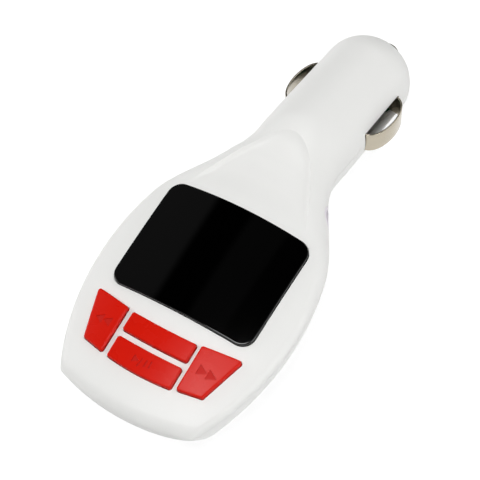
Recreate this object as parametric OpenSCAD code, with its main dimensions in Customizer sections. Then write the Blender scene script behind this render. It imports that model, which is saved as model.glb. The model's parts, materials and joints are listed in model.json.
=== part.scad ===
/* [Head] */
// Width of the head across its rim
head_w = 47.6; // [44:0.1:54]
// From the display's centre to the near end
near_l = 37.2; // [36.5:0.1:42]
// Radius of the arc across the near end
end_arc_r = 36.5; // [30:0.5:60]
// Radius of the head's two corners, seen from above
corner_r = 1; // [0.5:0.1:3]
// Radius of the long arcs down the two sides
side_arc_r = 52.4; // [48:0.1:70]
// How far the widest place lies before the display's centre
widest_back = 6; // [4:0.5:8]
// Where the sides leave their arcs to flow into the neck
flare_start = 9.5; // [8:0.5:12]
// Where the flare has come down to the plug's own width
flare_end = 33; // [31:0.5:35]
// Radius of the face's crown from side to side
crown_r = 70; // [60:1:90]
// Radius of the face's crown from end to end
crown_len_r = 247; // [200:1:300]
// From the top of the crown down to the joint of the two shells
rim_depth = 7.2; // [6.8:0.1:8]
// Thickness of the shells
wall = 1.8; // [1.4:0.1:2]
// Length of the rounding on top of the near end
end_round = 4.2; // [3:0.1:5]
// Length of the rounding under the near end
heel_round = 7; // [6:0.5:9]
// How much the lower shell leans in for each millimetre of depth
lean = 0.1; // [0:0.02:0.2]
// Squareness of the lower shell's section
belly_square = 3; // [2.6:0.1:4]

/* [Neck] */
// Half width of the neck panel at its foot
arch_half_w = 14.6; // [13.5:0.1:15.5]
// Where the neck panel's foot lies
arch_foot = 14.2; // [13.6:0.1:15]
// Where the neck panel's round top lies
arch_top = 33; // [31:0.1:34]
// Depth of the neck panel below the neck around it
arch_depth = 0.6; // [0.3:0.05:0.8]
// Width of the slope round the neck panel
arch_slope = 1.3; // [1:0.1:1.8]

/* [Plug] */
// Diameter of the plug's barrel
plug_d = 20.8; // [20.2:0.1:21]
// Angle between the head and the plug
plug_bend = 17; // [12:0.5:20]
// Where the joint plane bends down along the plug
bend_y = 25.8; // [25:0.1:27]
// From the bend to the end of the straight barrel
barrel_l = 35.6; // [35:0.1:40]
// Height of the domed nose
nose_l = 9.6; // [9:0.1:10.4]
// From the bend to the rear end of the side slots
slot_start = 18.8; // [18:0.1:20]
// Length of the side slots
slot_l = 14; // [13:0.1:15]
// Height of the side slots
slot_h = 5.4; // [5:0.1:6]

/* [Display] */
// Width of the display window
window_w = 34.6; // [32:0.1:35]
// Length of the display window
window_l = 26.1; // [24:0.1:26.5]
// Radius of the window's corners
window_corner = 3; // [2:0.1:4]
// How far the window's far edge bows outwards
window_bow = 0.3; // [0:0.05:0.5]
// How far the window stands above the face
window_rise = 0.7; // [0.4:0.05:0.9]
// Depth of the window's seat in the face
window_seat = 0.95; // [0.8:0.05:1.1]
// Width of the ledge that carries the window
window_ledge = 1.8; // [1.4:0.1:2.4]
// Play round the window and round each button
face_play = 0.12; // [0.08:0.01:0.2]

/* [Buttons] */
// How far the buttons stand above the face
button_rise = 0.9; // [0.6:0.05:1.2]
// Travel of a button
button_travel = 0.4; // [0.3:0.05:0.5]
// Half width of the two middle buttons
middle_half_w = 7.84; // [7.4:0.01:8]
// Far edge of the channel button
channel_far = -17.17; // [-17.6:0.01:-17]
// Near edge of the channel button
channel_near = -21.67; // [-22:0.01:-21.4]
// Far edge of the play button
play_far = -22.86; // [-23.2:0.01:-22.7]
// Near edge of the play button
play_near = -27.94; // [-28.4:0.01:-27.4]
// How far the middle buttons' long edges bow
middle_bow = 0.25; // [0.1:0.01:0.4]
// Inner edge of the two wing buttons
wing_inner = 9.15; // [9:0.01:9.4]
// Outer corner of a wing button at its far edge
wing_outer_far = 17.93; // [17.4:0.01:18.2]
// Outer corner of a wing button at its near edge
wing_outer_near = 14.72; // [14.2:0.01:15.2]
// Outer end of a wing button's far edge
wing_far_out = -15.37; // [-15.8:0.01:-15.1]
// Inner end of a wing button's far edge
wing_far_in = -16.8; // [-17.2:0.01:-16.6]
// Inner end of a wing button's near edge
wing_near_in = -27.38; // [-27.8:0.01:-27]
// Outer end of a wing button's near edge
wing_near_out = -26.15; // [-26.5:0.01:-25.8]
// Radius of the buttons' corners
button_corner = 0.8; // [0.5:0.05:1]
// Rounding of the buttons' and the window's top edges
pad_round = 0.45; // [0.3:0.05:0.6]
// Width of the flange that keeps a button in
flange_w = 0.5; // [0.3:0.05:0.55]
// Thickness of that flange
flange_t = 0.8; // [0.6:0.05:1]

/* [Inside] */
// From the top of the crown down to the main board
board_depth = 10; // [9.8:0.1:10.2]
// Thickness of the circuit boards
board_t = 1.2; // [1:0.1:1.6]
// Gap between the main board and the shell
board_gap = 1.8; // [1.6:0.1:2.2]
// Width of the display panel
lcd_w = 31.6; // [30:0.1:32]
// Length of the display panel
lcd_l = 25.4; // [24:0.1:25.6]
// Thickness of the display panel
lcd_t = 1.6; // [1.2:0.1:1.8]
// Thickness of the backlight
backlight_t = 1.8; // [1.5:0.1:2]
// Side of a switch's square body
switch_w = 4.5; // [4:0.1:4.6]
// Height of a switch's body
switch_h = 3; // [2.6:0.1:3.2]
// Diameter of a switch's plunger
plunger_d = 2.6; // [2:0.1:3]
// Length of a switch's plunger above its body
plunger_l = 0.9; // [0.8:0.05:1]

/* [Sockets] */
// Width of the socket for a memory stick
usb_w = 13.1; // [13:0.05:13.2]
// Height of the socket for a memory stick
usb_h = 6.8; // [6.6:0.1:6.9]
// Depth of the socket for a memory stick
usb_l = 14; // [13:0.1:14.2]
// Thickness of the socket's sheet metal
usb_t = 0.3; // [0.25:0.05:0.4]
// Width of the memory card socket
card_w = 27; // [26:0.1:28]
// Height of the memory card socket
card_h = 2.8; // [2.6:0.1:3]
// Depth of the memory card socket
card_l = 20.6; // [20:0.1:20.8]
// Diameter of the audio socket's bore
jack_bore = 3.6; // [3.5:0.05:3.7]
// Angle between the audio socket and the head's cross line
jack_turn = 25; // [23:0.5:27]

/* [Contacts] */
// Diameter of the centre contact's tip
tip_d = 4; // [3.6:0.1:4.4]
// How far the tip stands out of the nose
tip_out = 2; // [1.6:0.1:2.4]
// Travel of the centre contact
tip_travel = 1.5; // [1.2:0.1:1.8]
// Width of a side spring's strip
leaf_w = 5; // [4.4:0.1:5]
// Thickness of a side spring's strip
leaf_t = 0.4; // [0.3:0.05:0.5]
// How far a side spring bows out of the barrel
leaf_out = 2.9; // [2.2:0.1:3]

/* [Screws] */
// Diameter of the screws' shanks
screw_d = 2; // [1.8:0.1:2.2]
// Diameter of the screws' heads
screw_head_d = 3.6; // [3.4:0.1:3.8]
// Height of the screws' heads
screw_head_h = 1.2; // [1:0.1:1.4]

/* [Hidden] */
$fn = 48;

// Reach of a cut past the surface it leaves
over = 2;
// How far one form stays inside another where the two are joined
sink = 0.02;
// Clearance round a piece that slides or drops into its place
slip = 0.1;

plug_r = plug_d/2;
half_w = head_w/2;
bore_r = plug_r - wall;
belly_depth = plug_r;
reach = 3*near_l;

// Where the top of the neck leaves the crown, and where it has become the barrel's top
rise_start = bend_y - plug_r/6;
rise_end = bend_y + plug_r;
// Half the stretch over which the cross sections turn from the head's to the plug's
turn_half = 0.7*plug_r;
// From the bend to where the turned barrel takes over from the lofted neck
barrel_start = 1.35*plug_r;
loft_end = bend_y + barrel_start;
// Powers of the rounding on top of the near end and under it
top_power = 2;
heel_power = 2.5;

// Value between a, which it leaves with slope m, and b, which it reaches level
function ease(a, b, m, t, l) =
    (2*t*t*t - 3*t*t + 1)*a + (t*t*t - 2*t*t + t)*l*m + (3*t*t - 2*t*t*t)*b;
function unit(v) = max(0, min(1, v));
function smooth(t) = unit(t)*unit(t)*(3 - 2*unit(t));

// Depth of an arc of radius r at the distance x from its top
function sag(x, r) = r - sqrt(r*r - x*x);
function face_z(x, y) = -sag(x, crown_r) - sag(y, crown_len_r);

// Half width of the head and neck at y
function side_arc(y) = half_w - sag(y + widest_back, side_arc_r);
function half_width(y) = y < flare_start ? side_arc(y) : y > flare_end ? plug_r
    : ease(side_arc(flare_start), plug_r, -(flare_start + widest_back)/side_arc_r,
        (y - flare_start)/(flare_end - flare_start), flare_end - flare_start);

// How much a station's line bows towards the plug at its ends, over the square of its half width
function bow(y) = (1 - smooth((y + near_l)/(near_l - widest_back)))/(2*end_arc_r);
// Half width at a station whose bowed line ends on the outline
function rim_half(y, tries = 4) = tries == 0 ? half_width(y)
    : half_width(y + bow(y)*pow(rim_half(y, tries - 1), 2));
// The same inset by t, with the head's two corners rounded off
function corner_cut(d) = sag(max(0, min(corner_r, corner_r - d)), corner_r);
function inset_half(y, t) = rim_half(y) - t - corner_cut(y + near_l - t);

// Height of the top above the joint plane along the middle, and the radius of its crown
function neck_share(y) = (y - rise_start)/(rise_end - rise_start);
function top_height(y) = y < rise_start ? rim_depth + face_z(0, y) : y > rise_end ? plug_r
    : ease(rim_depth + face_z(0, rise_start), plug_r, -rise_start/crown_len_r, neck_share(y),
        rise_end - rise_start);
function top_radius(y) = 1/(1/crown_r + (1/plug_r - 1/crown_r)*smooth(neck_share(y)));

// Half width of the neck panel, a parabola
function arch_half(y) = arch_half_w*sqrt(unit((arch_top - y)/(arch_top - arch_foot)));

// The spine in the joint plane, and a place given along it, across it and above it
function turn(y) = plug_bend*smooth((y - bend_y + turn_half)/(2*turn_half));
function spine(y) = y < bend_y ? [0, y, -rim_depth]
    : [0, bend_y + (y - bend_y)*cos(plug_bend), -rim_depth - (y - bend_y)*sin(plug_bend)];
function place(y, x, up) = spine(y) + [x, up*sin(turn(y)) + bow(y)*x*x, up*cos(turn(y))];

// The top of a cross section, inset by t: [half width, crown radius, height, edge of the crown,
// radius of the arc from that edge down to the joint plane]
function bowed_face(y, x) = face_z(0, y + bow(y)*x*x) - face_z(0, y);
function edge_x(y, w, r, h) = let (
        k = r - h,
        f = (r*r - w*w - k*k)/(2*(r - w)),
        tangent = f < w ? (w - f)*r/(r - f) : 0)
    y < arch_foot ? tangent : max(tangent, arch_half(min(y, 0.9*arch_top)));
function top_arcs(y, t) = let (
        w = inset_half(y, t),
        r = top_radius(y) - t,
        h = top_height(y) - t,
        e = edge_x(y, w, r, h + bowed_face(y, w)),
        b = h - sag(e, r) + bowed_face(y, e),
        a = w - e)
    [w, r, h, e, (a*a + b*b)/(2*a)];
function top_up(y, x) = let (s = top_arcs(y, 0))
    abs(x) < s[3] ? s[2] - sag(x, s[1]) + bowed_face(y, x)
    : sqrt(max(0, s[4]*s[4] - pow(abs(x) - s[0] + s[4], 2)));

// The lower shell grows from a square belly under the head to the barrel's half circle
function belly_share(y) = 1 - smooth((y - flare_start)/(rise_end - flare_start));
function end_share(d, l, n) = d <= 0 ? 0 : d >= l ? 1 : pow(1 - pow(1 - d/l, n), 1/n);

// The two arcs of a cross section, each from the right joint to the left one
function top_arc(y, t, n) = let (
        s = top_arcs(y, t),
        swing = asin(min(1, (s[2] - sag(s[3], s[1]) + bowed_face(y, s[3]))/s[4])),
        share = end_share(y + near_l - t, end_round, top_power),
        half = concat(
            [for (i = [0:n]) let (g = swing*i/n) [s[0] - s[4] + s[4]*cos(g), s[4]*sin(g)]],
            [for (i = [1:n]) let (x = s[3]*(1 - i/n)) [x, s[2] - sag(x, s[1]) + bowed_face(y, x)]]))
    concat([for (q = half) place(y, q[0], q[1]*share)],
        [for (i = [2*n - 1:-1:0]) place(y, -half[i][0], half[i][1]*share)]);
function low_arc(y, t, n) = let (
        w = inset_half(y, t),
        share = end_share(y + near_l - t, heel_round, heel_power),
        p = 2 + (belly_square - 2)*belly_share(y),
        half = [for (i = [0:2*n]) let (g = 45*i/n, z = (belly_depth - t)*pow(sin(g), 2/p))
            [i == 2*n ? 0 : (w - lean*belly_share(y)*z)*pow(cos(g), 2/p), -z]])
    concat([for (q = half) place(y, q[0], q[1]*share)],
        [for (i = [2*n - 1:-1:0]) place(y, -half[i][0], half[i][1]*share)]);
function arc_at(y, t, n, up) = up > 0 ? top_arc(y, t, n) : low_arc(y, t, n);
function turned(f, up) = up > 0 ? f : [f[2], f[1], f[0]];

// The two triangles between points a and a + 1 of an arc and those of the next arc
function quad(a, n, right) = right ? [[a, a + 1, a + n + 1], [a, a + n + 1, a + n]]
    : [[a, a + 1, a + n], [a + 1, a + n + 1, a + n]];

// Solid between an outer and an inner row of arcs, closed in the joint plane
module wall_skin(outer, inner, up) {
    n = len(outer[0]);
    m = len(outer);
    b = m*n;
    polyhedron(points = concat([for (r = outer) each r], [for (r = inner) each r]),
        faces = [for (f = concat(
            [for (k = [0:m - 2], i = [0:n - 2], f = quad(k*n + i, n, i < n/2 - 1))
                each [f, [f[0] + b, f[2] + b, f[1] + b]]],
            [for (i = [0:n - 2]) let (a = (m - 1)*n + i)
                each [[i + 1, i, i + b], [i + 1, i + b, i + 1 + b],
                    [a, a + 1, a + 1 + b], [a, a + 1 + b, a + b]]],
            [for (k = [0:m - 2]) let (a = k*n, c = k*n + n - 1)
                each [[a, a + n, a + n + b], [a, a + n + b, a + b],
                    [c + n, c, c + b], [c + n, c + b, c + n + b]]])) turned(f, up)]);
}

// Skin over rings stacked upwards, closed by a point below and a point above
module stack(low, rings, high) {
    n = len(rings[0]);
    m = len(rings);
    polyhedron(points = concat([low], [for (r = rings) each r], [high]),
        faces = concat(
            [for (i = [0:n - 1]) [0, 1 + i, 1 + (i + 1)%n]],
            [for (k = [0:m - 2], i = [0:n - 1]) let (a = 1 + k*n + i, b = 1 + k*n + (i + 1)%n)
                each [[a, a + n, b + n], [a, b + n, b]]],
            [for (i = [0:n - 1]) [1 + m*n, 1 + (m - 1)*n + (i + 1)%n, 1 + (m - 1)*n + i]]));
}

// Round tube along a route of points
function tangent_at(p, i) = let (d = p[min(i + 1, len(p) - 1)] - p[max(i - 1, 0)]) d/norm(d);
module tube(route, r, sides = 8) {
    rings = [for (i = [0:len(route) - 1]) let (
            t = tangent_at(route, i),
            u = cross(t, abs(t[0]) > 0.9 ? [0, 0, 1] : [1, 0, 0]),
            a = u/norm(u), b = cross(t, a))
        [for (j = [0:sides - 1]) let (g = 360*j/sides) route[i] + r*(cos(g)*a + sin(g)*b)]];
    stack(route[0], rings, route[len(route) - 1]);
}

// Outline with rounded corners, grown by a margin, whose edges bow outwards.
// Its corners run anticlockwise, and each edge has k points between its ends.
function outward(p, q) = let (d = (q - p)/norm(q - p)) [d[1], -d[0]];
function corner_centre(c, i, r) = let (
        n = len(c), a = outward(c[(i + n - 1)%n], c[i%n]), b = outward(c[i%n], c[(i + 1)%n]))
    c[i%n] - r*(a + b)/(1 + a*b);
function rounded(c, bows, r, grow, k) = let (n = len(c)) [for (i = [0:n - 1]) let (
        a = outward(c[(i + n - 1)%n], c[i]),
        b = outward(c[i], c[(i + 1)%n]),
        from = atan2(a[1], a[0]),
        to = atan2(b[1], b[0]) + (atan2(b[1], b[0]) < from ? 360 : 0),
        m = corner_centre(c, i, r),
        start = m + (r + grow)*b,
        end = corner_centre(c, i + 1, r) + (r + grow)*b)
    each concat(
        [for (j = [0:3]) let (g = from + (to - from)*j/3) m + (r + grow)*[cos(g), sin(g)]],
        [for (j = [1:k]) let (u = j/(k + 1)) start + (end - start)*u + b*bows[i]*4*u*(1 - u)])];

// Crowned piece that follows the face. Each level is [growth, height over the face, share of size].
module pad(c, bows, r, k, levels) {
    middle = [for (i = [0, 1]) (c[0][i] + c[1][i] + c[2][i] + c[3][i])/4];
    rings = [for (v = levels) [for (q = rounded(c, bows, r, v[0], k))
        let (p = middle + (q - middle)*v[2]) [p[0], p[1], face_z(p[0], p[1]) + v[1]]]];
    z = face_z(middle[0], middle[1]);
    stack([middle[0], middle[1], z + levels[0][1]], rings,
        [middle[0], middle[1], z + levels[len(levels) - 1][1]]);
}
// Levels of a rounded top edge, of the height above the face
function round_levels(height) = [for (g = [0:30:90])
    [-pad_round*(1 - cos(g)), height - pad_round*(1 - sin(g)), 1]];

window_corners = [[window_w/2, -window_l/2], [window_w/2, window_l/2],
    [-window_w/2, window_l/2], [-window_w/2, -window_l/2]];
window_bows = [0, window_bow, 0, 0];
channel_corners = [[-middle_half_w, channel_near], [middle_half_w, channel_near],
    [middle_half_w, channel_far], [-middle_half_w, channel_far]];
play_corners = [[-middle_half_w, play_near], [middle_half_w, play_near],
    [middle_half_w, play_far], [-middle_half_w, play_far]];
middle_bows = [middle_bow, 0, -middle_bow, 0];
wing_corners = [[wing_inner, wing_near_in], [wing_outer_near, wing_near_out],
    [wing_outer_far, wing_far_out], [wing_inner, wing_far_in]];
wing_bows = [0, 0, 0, 0];

// Places of the four switches under the buttons
wing_x = (2*wing_inner + wing_outer_far + wing_outer_near)/4;
wing_y = (wing_far_out + wing_near_out)/2;
channel_y = (channel_far + channel_near)/2 + slip;
play_y = (play_far + play_near)/2 - slip;

// Wall of the frame round the display panel
frame_t = 0.9;

// Levels inside the head, as heights over the face's centre
board_top = -board_depth;
board_low = board_top - board_t;
plunger_top = board_top + switch_h + plunger_l;
lcd_z = face_z(lcd_w/2, lcd_l/2) - wall - slip;
screw_seat = board_low - 0.8*wall;

// Outline of the main board: its near end, its far end and its half width
board_near = -near_l + 1.65*wall;
board_far = lcd_l/2 + frame_t + 1.6*wall;
function board_half(y) = half_width(y) - wall - board_gap;
board_start = board_near + 1.5*screw_d;
board_c = board_half(board_start);
function near_edge(x) = board_near + x*x/(2*end_arc_r);

// Places of the three screws
screw_x = board_c - screw_d;
screw_spots = [[-screw_x, near_edge(screw_x) + 1.05*screw_d], [screw_x, near_edge(screw_x) + 1.05*screw_d],
    [0, 0.7*arch_top]];
boss_r = screw_d;
// Depth of the crown below the face's centre over the outer posts
crown_sink = 1.6;

// How the part lies on a table: on its heel and on the end of its barrel
function heel_low(a) = let (q = heel_power/(heel_power - 1))
    (heel_round - near_l)*sin(a) - rim_depth*cos(a)
    - pow(pow(heel_round*sin(a), q) + pow(belly_depth*cos(a), q), 1/q);
function plug_low(a) = let (p = spine(bend_y + barrel_l), b = plug_bend - a)
    p[1]*sin(a) + p[2]*cos(a) - norm([plug_r*cos(b), nose_l*sin(b)]);
function level_angle(low, high, tries) = let (m = (low + high)/2)
    tries == 0 ? m : heel_low(m) > plug_low(m) ? level_angle(m, high, tries - 1)
    : level_angle(low, m, tries - 1);
rest_tilt = level_angle(0, plug_bend, 30);
floor_z = heel_low(rest_tilt);
tip_reach = barrel_l + nose_l + tip_out;
near_y = (end_round - near_l)*cos(rest_tilt) + rim_depth*sin(rest_tilt)
    - norm([end_round*cos(rest_tilt), top_height(end_round - near_l)*sin(rest_tilt)]);
far_y = bend_y*cos(rest_tilt) + rim_depth*sin(rest_tilt)
    + (tip_reach - tip_d/2)*cos(plug_bend - rest_tilt) + tip_d/2;
middle_y = (near_y + far_y)/2;

// From the head's own frame, whose origin is the middle of the display, to the table's
module lying() translate([0, -middle_y, -floor_z]) rotate([rest_tilt, 0, 0]) children();
// From the plug's frame, with Y along its axis from the bend, to the head's
module in_plug() translate(spine(bend_y)) rotate([-plug_bend, 0, 0]) children();
// Lengthwise cylinder in the plug's frame
module along(y0, y1, r) translate([0, y0, 0]) rotate([-90, 0, 0]) cylinder(r = r, h = y1 - y0);
// Box between two corners
module block(a, b) translate(a) cube(b - a);
module prism(points, z0, z1) translate([0, 0, z0]) linear_extrude(z1 - z0) polygon(points);

// Stations of the arcs, inset by t, up to the place where the barrel takes over
function stations(t) = concat(
    [for (g = [0, 22, 40, 57, 74, 90]) t - near_l + end_round*(1 - cos(g))],
    [for (i = [0:10]) let (a = t - near_l + heel_round) a + (bend_y - a)*i/10],
    [for (i = [1:7]) bend_y + (barrel_start - 0.6)*i/7]);
function rows(t, n, up, end_t) = concat([for (y = stations(t)) arc_at(y, t, n, up)],
    [for (y = [loft_end - 0.5, loft_end]) arc_at(y, end_t, n, up)]);
module half_form(up) wall_skin(rows(0, 4, up, sink), rows(wall, 4, up, wall - 2*slip), up);

// Solid that ends in the middle of the shells' wall, from the joint plane up or down
module core(up) {
    ys = [for (y = stations(wall/2)) if (y < bend_y + slip) y];
    rows = [for (y = ys) arc_at(y, wall/2, 2, up)];
    n = len(rows[0]);
    m = len(rows);
    polyhedron(points = [for (r = rows) each r],
        faces = [for (f = concat(
            [for (k = [0:m - 2], i = [0:n - 2]) each quad(k*n + i, n, i < n/2 - 1)],
            [[for (i = [0:n - 1]) i + (m - 1)*n]],
            [concat([for (i = [n - 1:-1:0]) i], [for (k = [1:m - 1]) k*n],
                [for (k = [m - 1:-1:1]) k*n + n - 1])])) up > 0 ? f : [for (i = [len(f) - 1:-1:0]) f[i]]]);
}

// Wall of the barrel and its domed nose, with a flat seat for the centre contact
nose_seat = barrel_l + nose_l - wall - tip_d/3;
tip_hole_r = tip_d/2 + 2*slip;
inner_nose = nose_l - wall;
seat_r = bore_r*sqrt(1 - pow((nose_seat - barrel_l)/inner_nose, 2));
tip_angle = acos(tip_hole_r/plug_r);
seat_angle = acos(seat_r/bore_r);
barrel_wall = concat(
    [[bore_r, barrel_start - 0.4], [plug_r, barrel_start - 0.4]],
    [for (i = [0:12]) let (g = tip_angle*i/12) [plug_r*cos(g), barrel_l + nose_l*sin(g)]],
    [[tip_hole_r, nose_seat]],
    [for (i = [8:-1:0]) let (g = seat_angle*i/8) [bore_r*cos(g), barrel_l + inner_nose*sin(g)]]);
module half_barrel(up) in_plug() rotate([-90, 0, 0]) rotate([0, 0, up > 0 ? 180 : 0])
    rotate_extrude(angle = 180) polygon(barrel_wall);

module half_shell(up) union() {
    difference() {
        half_form(up);
        in_plug() translate([-reach, barrel_start - slip, -reach]) cube(2*reach);
    }
    half_barrel(up);
}

// Slots of the side springs
module side_slots() in_plug() for (side = [-1, 1])
    translate([side*(plug_r + bore_r)/2 - plug_r/2, slot_start, -slot_h/2])
        cube([plug_r, slot_l, slot_h]);

// Seat of the window, and the openings in the face
module window_seat_cut() pad(window_corners, window_bows, window_corner, 3, [
    [face_play, -window_seat, 0.35], [face_play, -window_seat, 0.7], [face_play, -window_seat, 1],
    [face_play, over, 1], [face_play, over, 0.6]]);
module face_opening(c, bows, r, grow) prism(rounded(c, bows, r, grow, 3), -rim_depth, over);
module button_openings() {
    face_opening(channel_corners, middle_bows, button_corner, face_play);
    face_opening(play_corners, middle_bows, button_corner, face_play);
    for (side = [0, 1]) mirror([side, 0, 0])
        face_opening(wing_corners, wing_bows, button_corner, face_play);
}

// The recessed panel on the neck, whose sloped border follows a parabola
function panel_line(half, top, foot, n) = concat(
    [for (i = [0:n]) let (u = 1 - 2*i/n) [half*u, top - (top - foot)*u*u]],
    [for (i = [1:3]) [half*(i/2 - 1), foot]]);
function panel_point(q, up) = let (y = q[1]) place(y, q[0], top_up(y, q[0]) + up);
function panel_deep(y) = arch_depth*(0.2 + 0.8*smooth((y - arch_foot)/(arch_top - arch_foot)*2.5));
module panel_cut() {
    out = panel_line(arch_half_w, arch_top, arch_foot, 16);
    inn = panel_line(arch_half_w - arch_slope, arch_top - 1.4*arch_slope, arch_foot + slip, 16);
    middle = [0, (arch_top + 2*arch_foot)/3];
    stack(panel_point(middle, -panel_deep(middle[1])), [
        [for (q = inn) let (m = middle + (q - middle)/3) panel_point(m, -panel_deep(m[1]))],
        [for (q = inn) let (m = middle + (q - middle)*2/3) panel_point(m, -panel_deep(m[1]))],
        [for (q = inn) panel_point(q, -panel_deep(q[1]))],
        [for (i = [0:len(out) - 1]) let (q = out[i] + 0.2*(out[i] - inn[i]))
            panel_point(q, 0.2*panel_deep(out[i][1]))],
        [for (i = [0:len(out) - 1]) let (q = out[i] + 0.2*(out[i] - inn[i])) panel_point(q, over)]],
        panel_point(middle, 2*over));
}

// The audio socket's place on the flank of the neck, with X running out of its mouth
jack_y = arch_foot + 7.4;
jack_x = half_width(jack_y) - wall;
jack_h = 1.45*jack_bore;
jack_z = board_top + jack_h/2;
jack_w = 1.5*jack_bore;
// The socket's body reaches back to just short of the display's frame
jack_l = (jack_y - jack_w/2*cos(jack_turn) - lcd_l/2 - frame_t - 3*slip)/sin(jack_turn);
collar_l = wall - 0.6;
jack_collar_r = jack_bore/2 + 0.8;
module at_jack() translate([jack_x, jack_y, jack_z]) rotate([0, 0, jack_turn]) children();
module crosswise(x0, x1, r) translate([x0, 0, 0]) rotate([0, 90, 0]) cylinder(r = r, h = x1 - x0);
module jack_opening() at_jack() crosswise(-wall, 3*wall, jack_collar_r + 1.5*slip);

// Posts that the screws run through, above the board and below it
post_low = [for (i = [0, 1, 2]) i < 2 ? board_top : -rim_depth];
module posts_up() for (i = [0, 1, 2]) intersection() {
    translate([screw_spots[i][0], screw_spots[i][1], post_low[i]]) cylinder(r = boss_r, h = -post_low[i]);
    core(1);
}
head_r = screw_head_d/2;
module posts_down() for (i = [0, 1, 2]) intersection() {
    translate([screw_spots[i][0], screw_spots[i][1], board_top - 2*belly_depth])
        cylinder(r = head_r + wall/2, h = 2*belly_depth + (i < 2 ? -board_t : board_depth - rim_depth));
    core(-1);
}
module screw_holes(r, z0, z1) for (q = screw_spots) translate([q[0], q[1], z0]) cylinder(r = r, h = z1 - z0);

// The sockets in the sides, and the openings that lead to them
usb_y = usb_w/2 - lcd_l/2 + 1.5*slip;
usb_top = lcd_z - lcd_t - backlight_t - 4*slip;
usb_mouth = -0.82*half_w;
usb_end = usb_mouth + usb_l;
usb_low = usb_top - usb_h;
card_mouth = 0.65*half_w;
card_end = card_mouth - card_l;
card_y = -widest_back;
card_top = board_low;
card_low = card_top - card_h;
module side_openings() {
    block([-reach, usb_y - usb_w/2 - slip, usb_low - slip],
        [usb_mouth + usb_l/2, usb_y + usb_w/2 + slip, usb_top + slip]);
    block([card_mouth - wall, card_y - card_w/2 + wall, card_low + slip],
        [reach, card_y + card_w/2 - wall, card_top - slip]);
}

module top_shell() lying() color("whitesmoke") difference() {
    union() {
        half_shell(1);
        posts_up();
    }
    side_slots();
    window_seat_cut();
    face_opening(window_corners, window_bows, window_corner, -window_ledge);
    button_openings();
    panel_cut();
    jack_opening();
    screw_holes(screw_d/2 + slip/2, board_low, -wall - crown_sink);
}
module bottom_shell() lying() color("whitesmoke") difference() {
    union() {
        half_shell(-1);
        posts_down();
    }
    side_slots();
    side_openings();
    jack_opening();
    screw_holes(screw_d/2 + slip, -reach, 0);
    screw_holes(head_r + slip, -reach, screw_seat);
}

// Window and buttons
module display_window() lying() color("#101014") pad(window_corners, window_bows, window_corner, 3,
    concat([for (k = [0.35, 0.7, 1]) [0, -window_seat + slip/2, k]], round_levels(window_rise),
        [for (k = [0.7, 0.35]) [-pad_round, window_rise, k]]));
flange_top = -wall - 1.5*slip;
module button(c, bows, spot) color("red") union() {
    pad(c, bows, button_corner, 3, concat(
        [for (k = [0.5, 1]) [flange_w, flange_top - flange_t, k]],
        [[flange_w, flange_top, 1], [0, flange_top, 1]], round_levels(button_rise),
        [[-pad_round, button_rise, 0.5]]));
    translate([spot[0], spot[1], plunger_top + sink]) cylinder(r = plunger_d/2,
        h = face_z(spot[0], spot[1]) + flange_top - plunger_top - sink);
}
module button_previous() lying() mirror([1, 0, 0]) button(wing_corners, wing_bows, [wing_x, wing_y]);
module button_next() lying() button(wing_corners, wing_bows, [wing_x, wing_y]);
module button_channel() lying() button(channel_corners, middle_bows, [0, channel_y]);
module button_play() lying() button(play_corners, middle_bows, [0, play_y]);

// Switches under the buttons
module plunger(x, y) lying() color("dimgray") translate([x, y, board_top + switch_h - plunger_l])
    cylinder(r = plunger_d/2, h = 2*plunger_l);
module plunger_previous() plunger(-wing_x, wing_y);
module plunger_channel() plunger(0, channel_y);
module plunger_play() plunger(0, play_y);
module plunger_next() plunger(wing_x, wing_y);
switch_spots = [[-wing_x, wing_y], [0, channel_y], [0, play_y], [wing_x, wing_y]];
module switch_bodies() lying() color("black") for (q = switch_spots) difference() {
    block([q[0] - switch_w/2, q[1] - switch_w/2, board_top],
        [q[0] + switch_w/2, q[1] + switch_w/2, board_top + switch_h]);
    translate([q[0], q[1], board_top + switch_h - plunger_l - button_travel - slip])
        cylinder(r = plunger_d/2 + slip, h = switch_h);
}

// Display module
frame_top = lcd_z - 7*slip;
pocket = slip/2;
ribbon_w = 0.3*lcd_w;
// The ribbon runs down beside the channel button's switch
ribbon_x = (switch_w + ribbon_w)/2 + 2*slip;
ribbon_t = 0.3;
module around(w, l, z0, z1) block([-w/2, -l/2, z0], [w/2, l/2, z1]);
module lcd_panel() lying() color("darkslategray") around(lcd_w, lcd_l, lcd_z - lcd_t, lcd_z);
module lcd_backlight() lying() color("lightyellow")
    around(lcd_w, lcd_l, lcd_z - lcd_t - backlight_t, lcd_z - lcd_t);
module lcd_frame() lying() color("white") difference() {
    around(lcd_w + 2*frame_t, lcd_l + 2*frame_t, board_top, frame_top);
    around(lcd_w + 2*pocket, lcd_l + 2*pocket, lcd_z - lcd_t - backlight_t, 0);
    around(lcd_w - 4*frame_t, lcd_l - 4*frame_t, -reach, 0);
    block([-reach, usb_y - usb_w/2 - slip, -reach],
        [usb_end + slip, usb_y + usb_w/2 + slip, usb_top + slip]);
    block([ribbon_x - ribbon_w/2 - slip, -lcd_l, lcd_z - lcd_t - ribbon_t - slip],
        [ribbon_x + ribbon_w/2 + slip, 0, 0]);
}
function band(path, t) = let (n = len(path), side = [for (i = [0:n - 1]) let (
        d = path[min(i + 1, n - 1)] - path[max(i - 1, 0)]) [-d[1], d[0]]/norm(d)*t/2])
    concat([for (i = [0:n - 1]) path[i] + side[i]], [for (i = [n - 1:-1:0]) path[i] - side[i]]);
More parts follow.
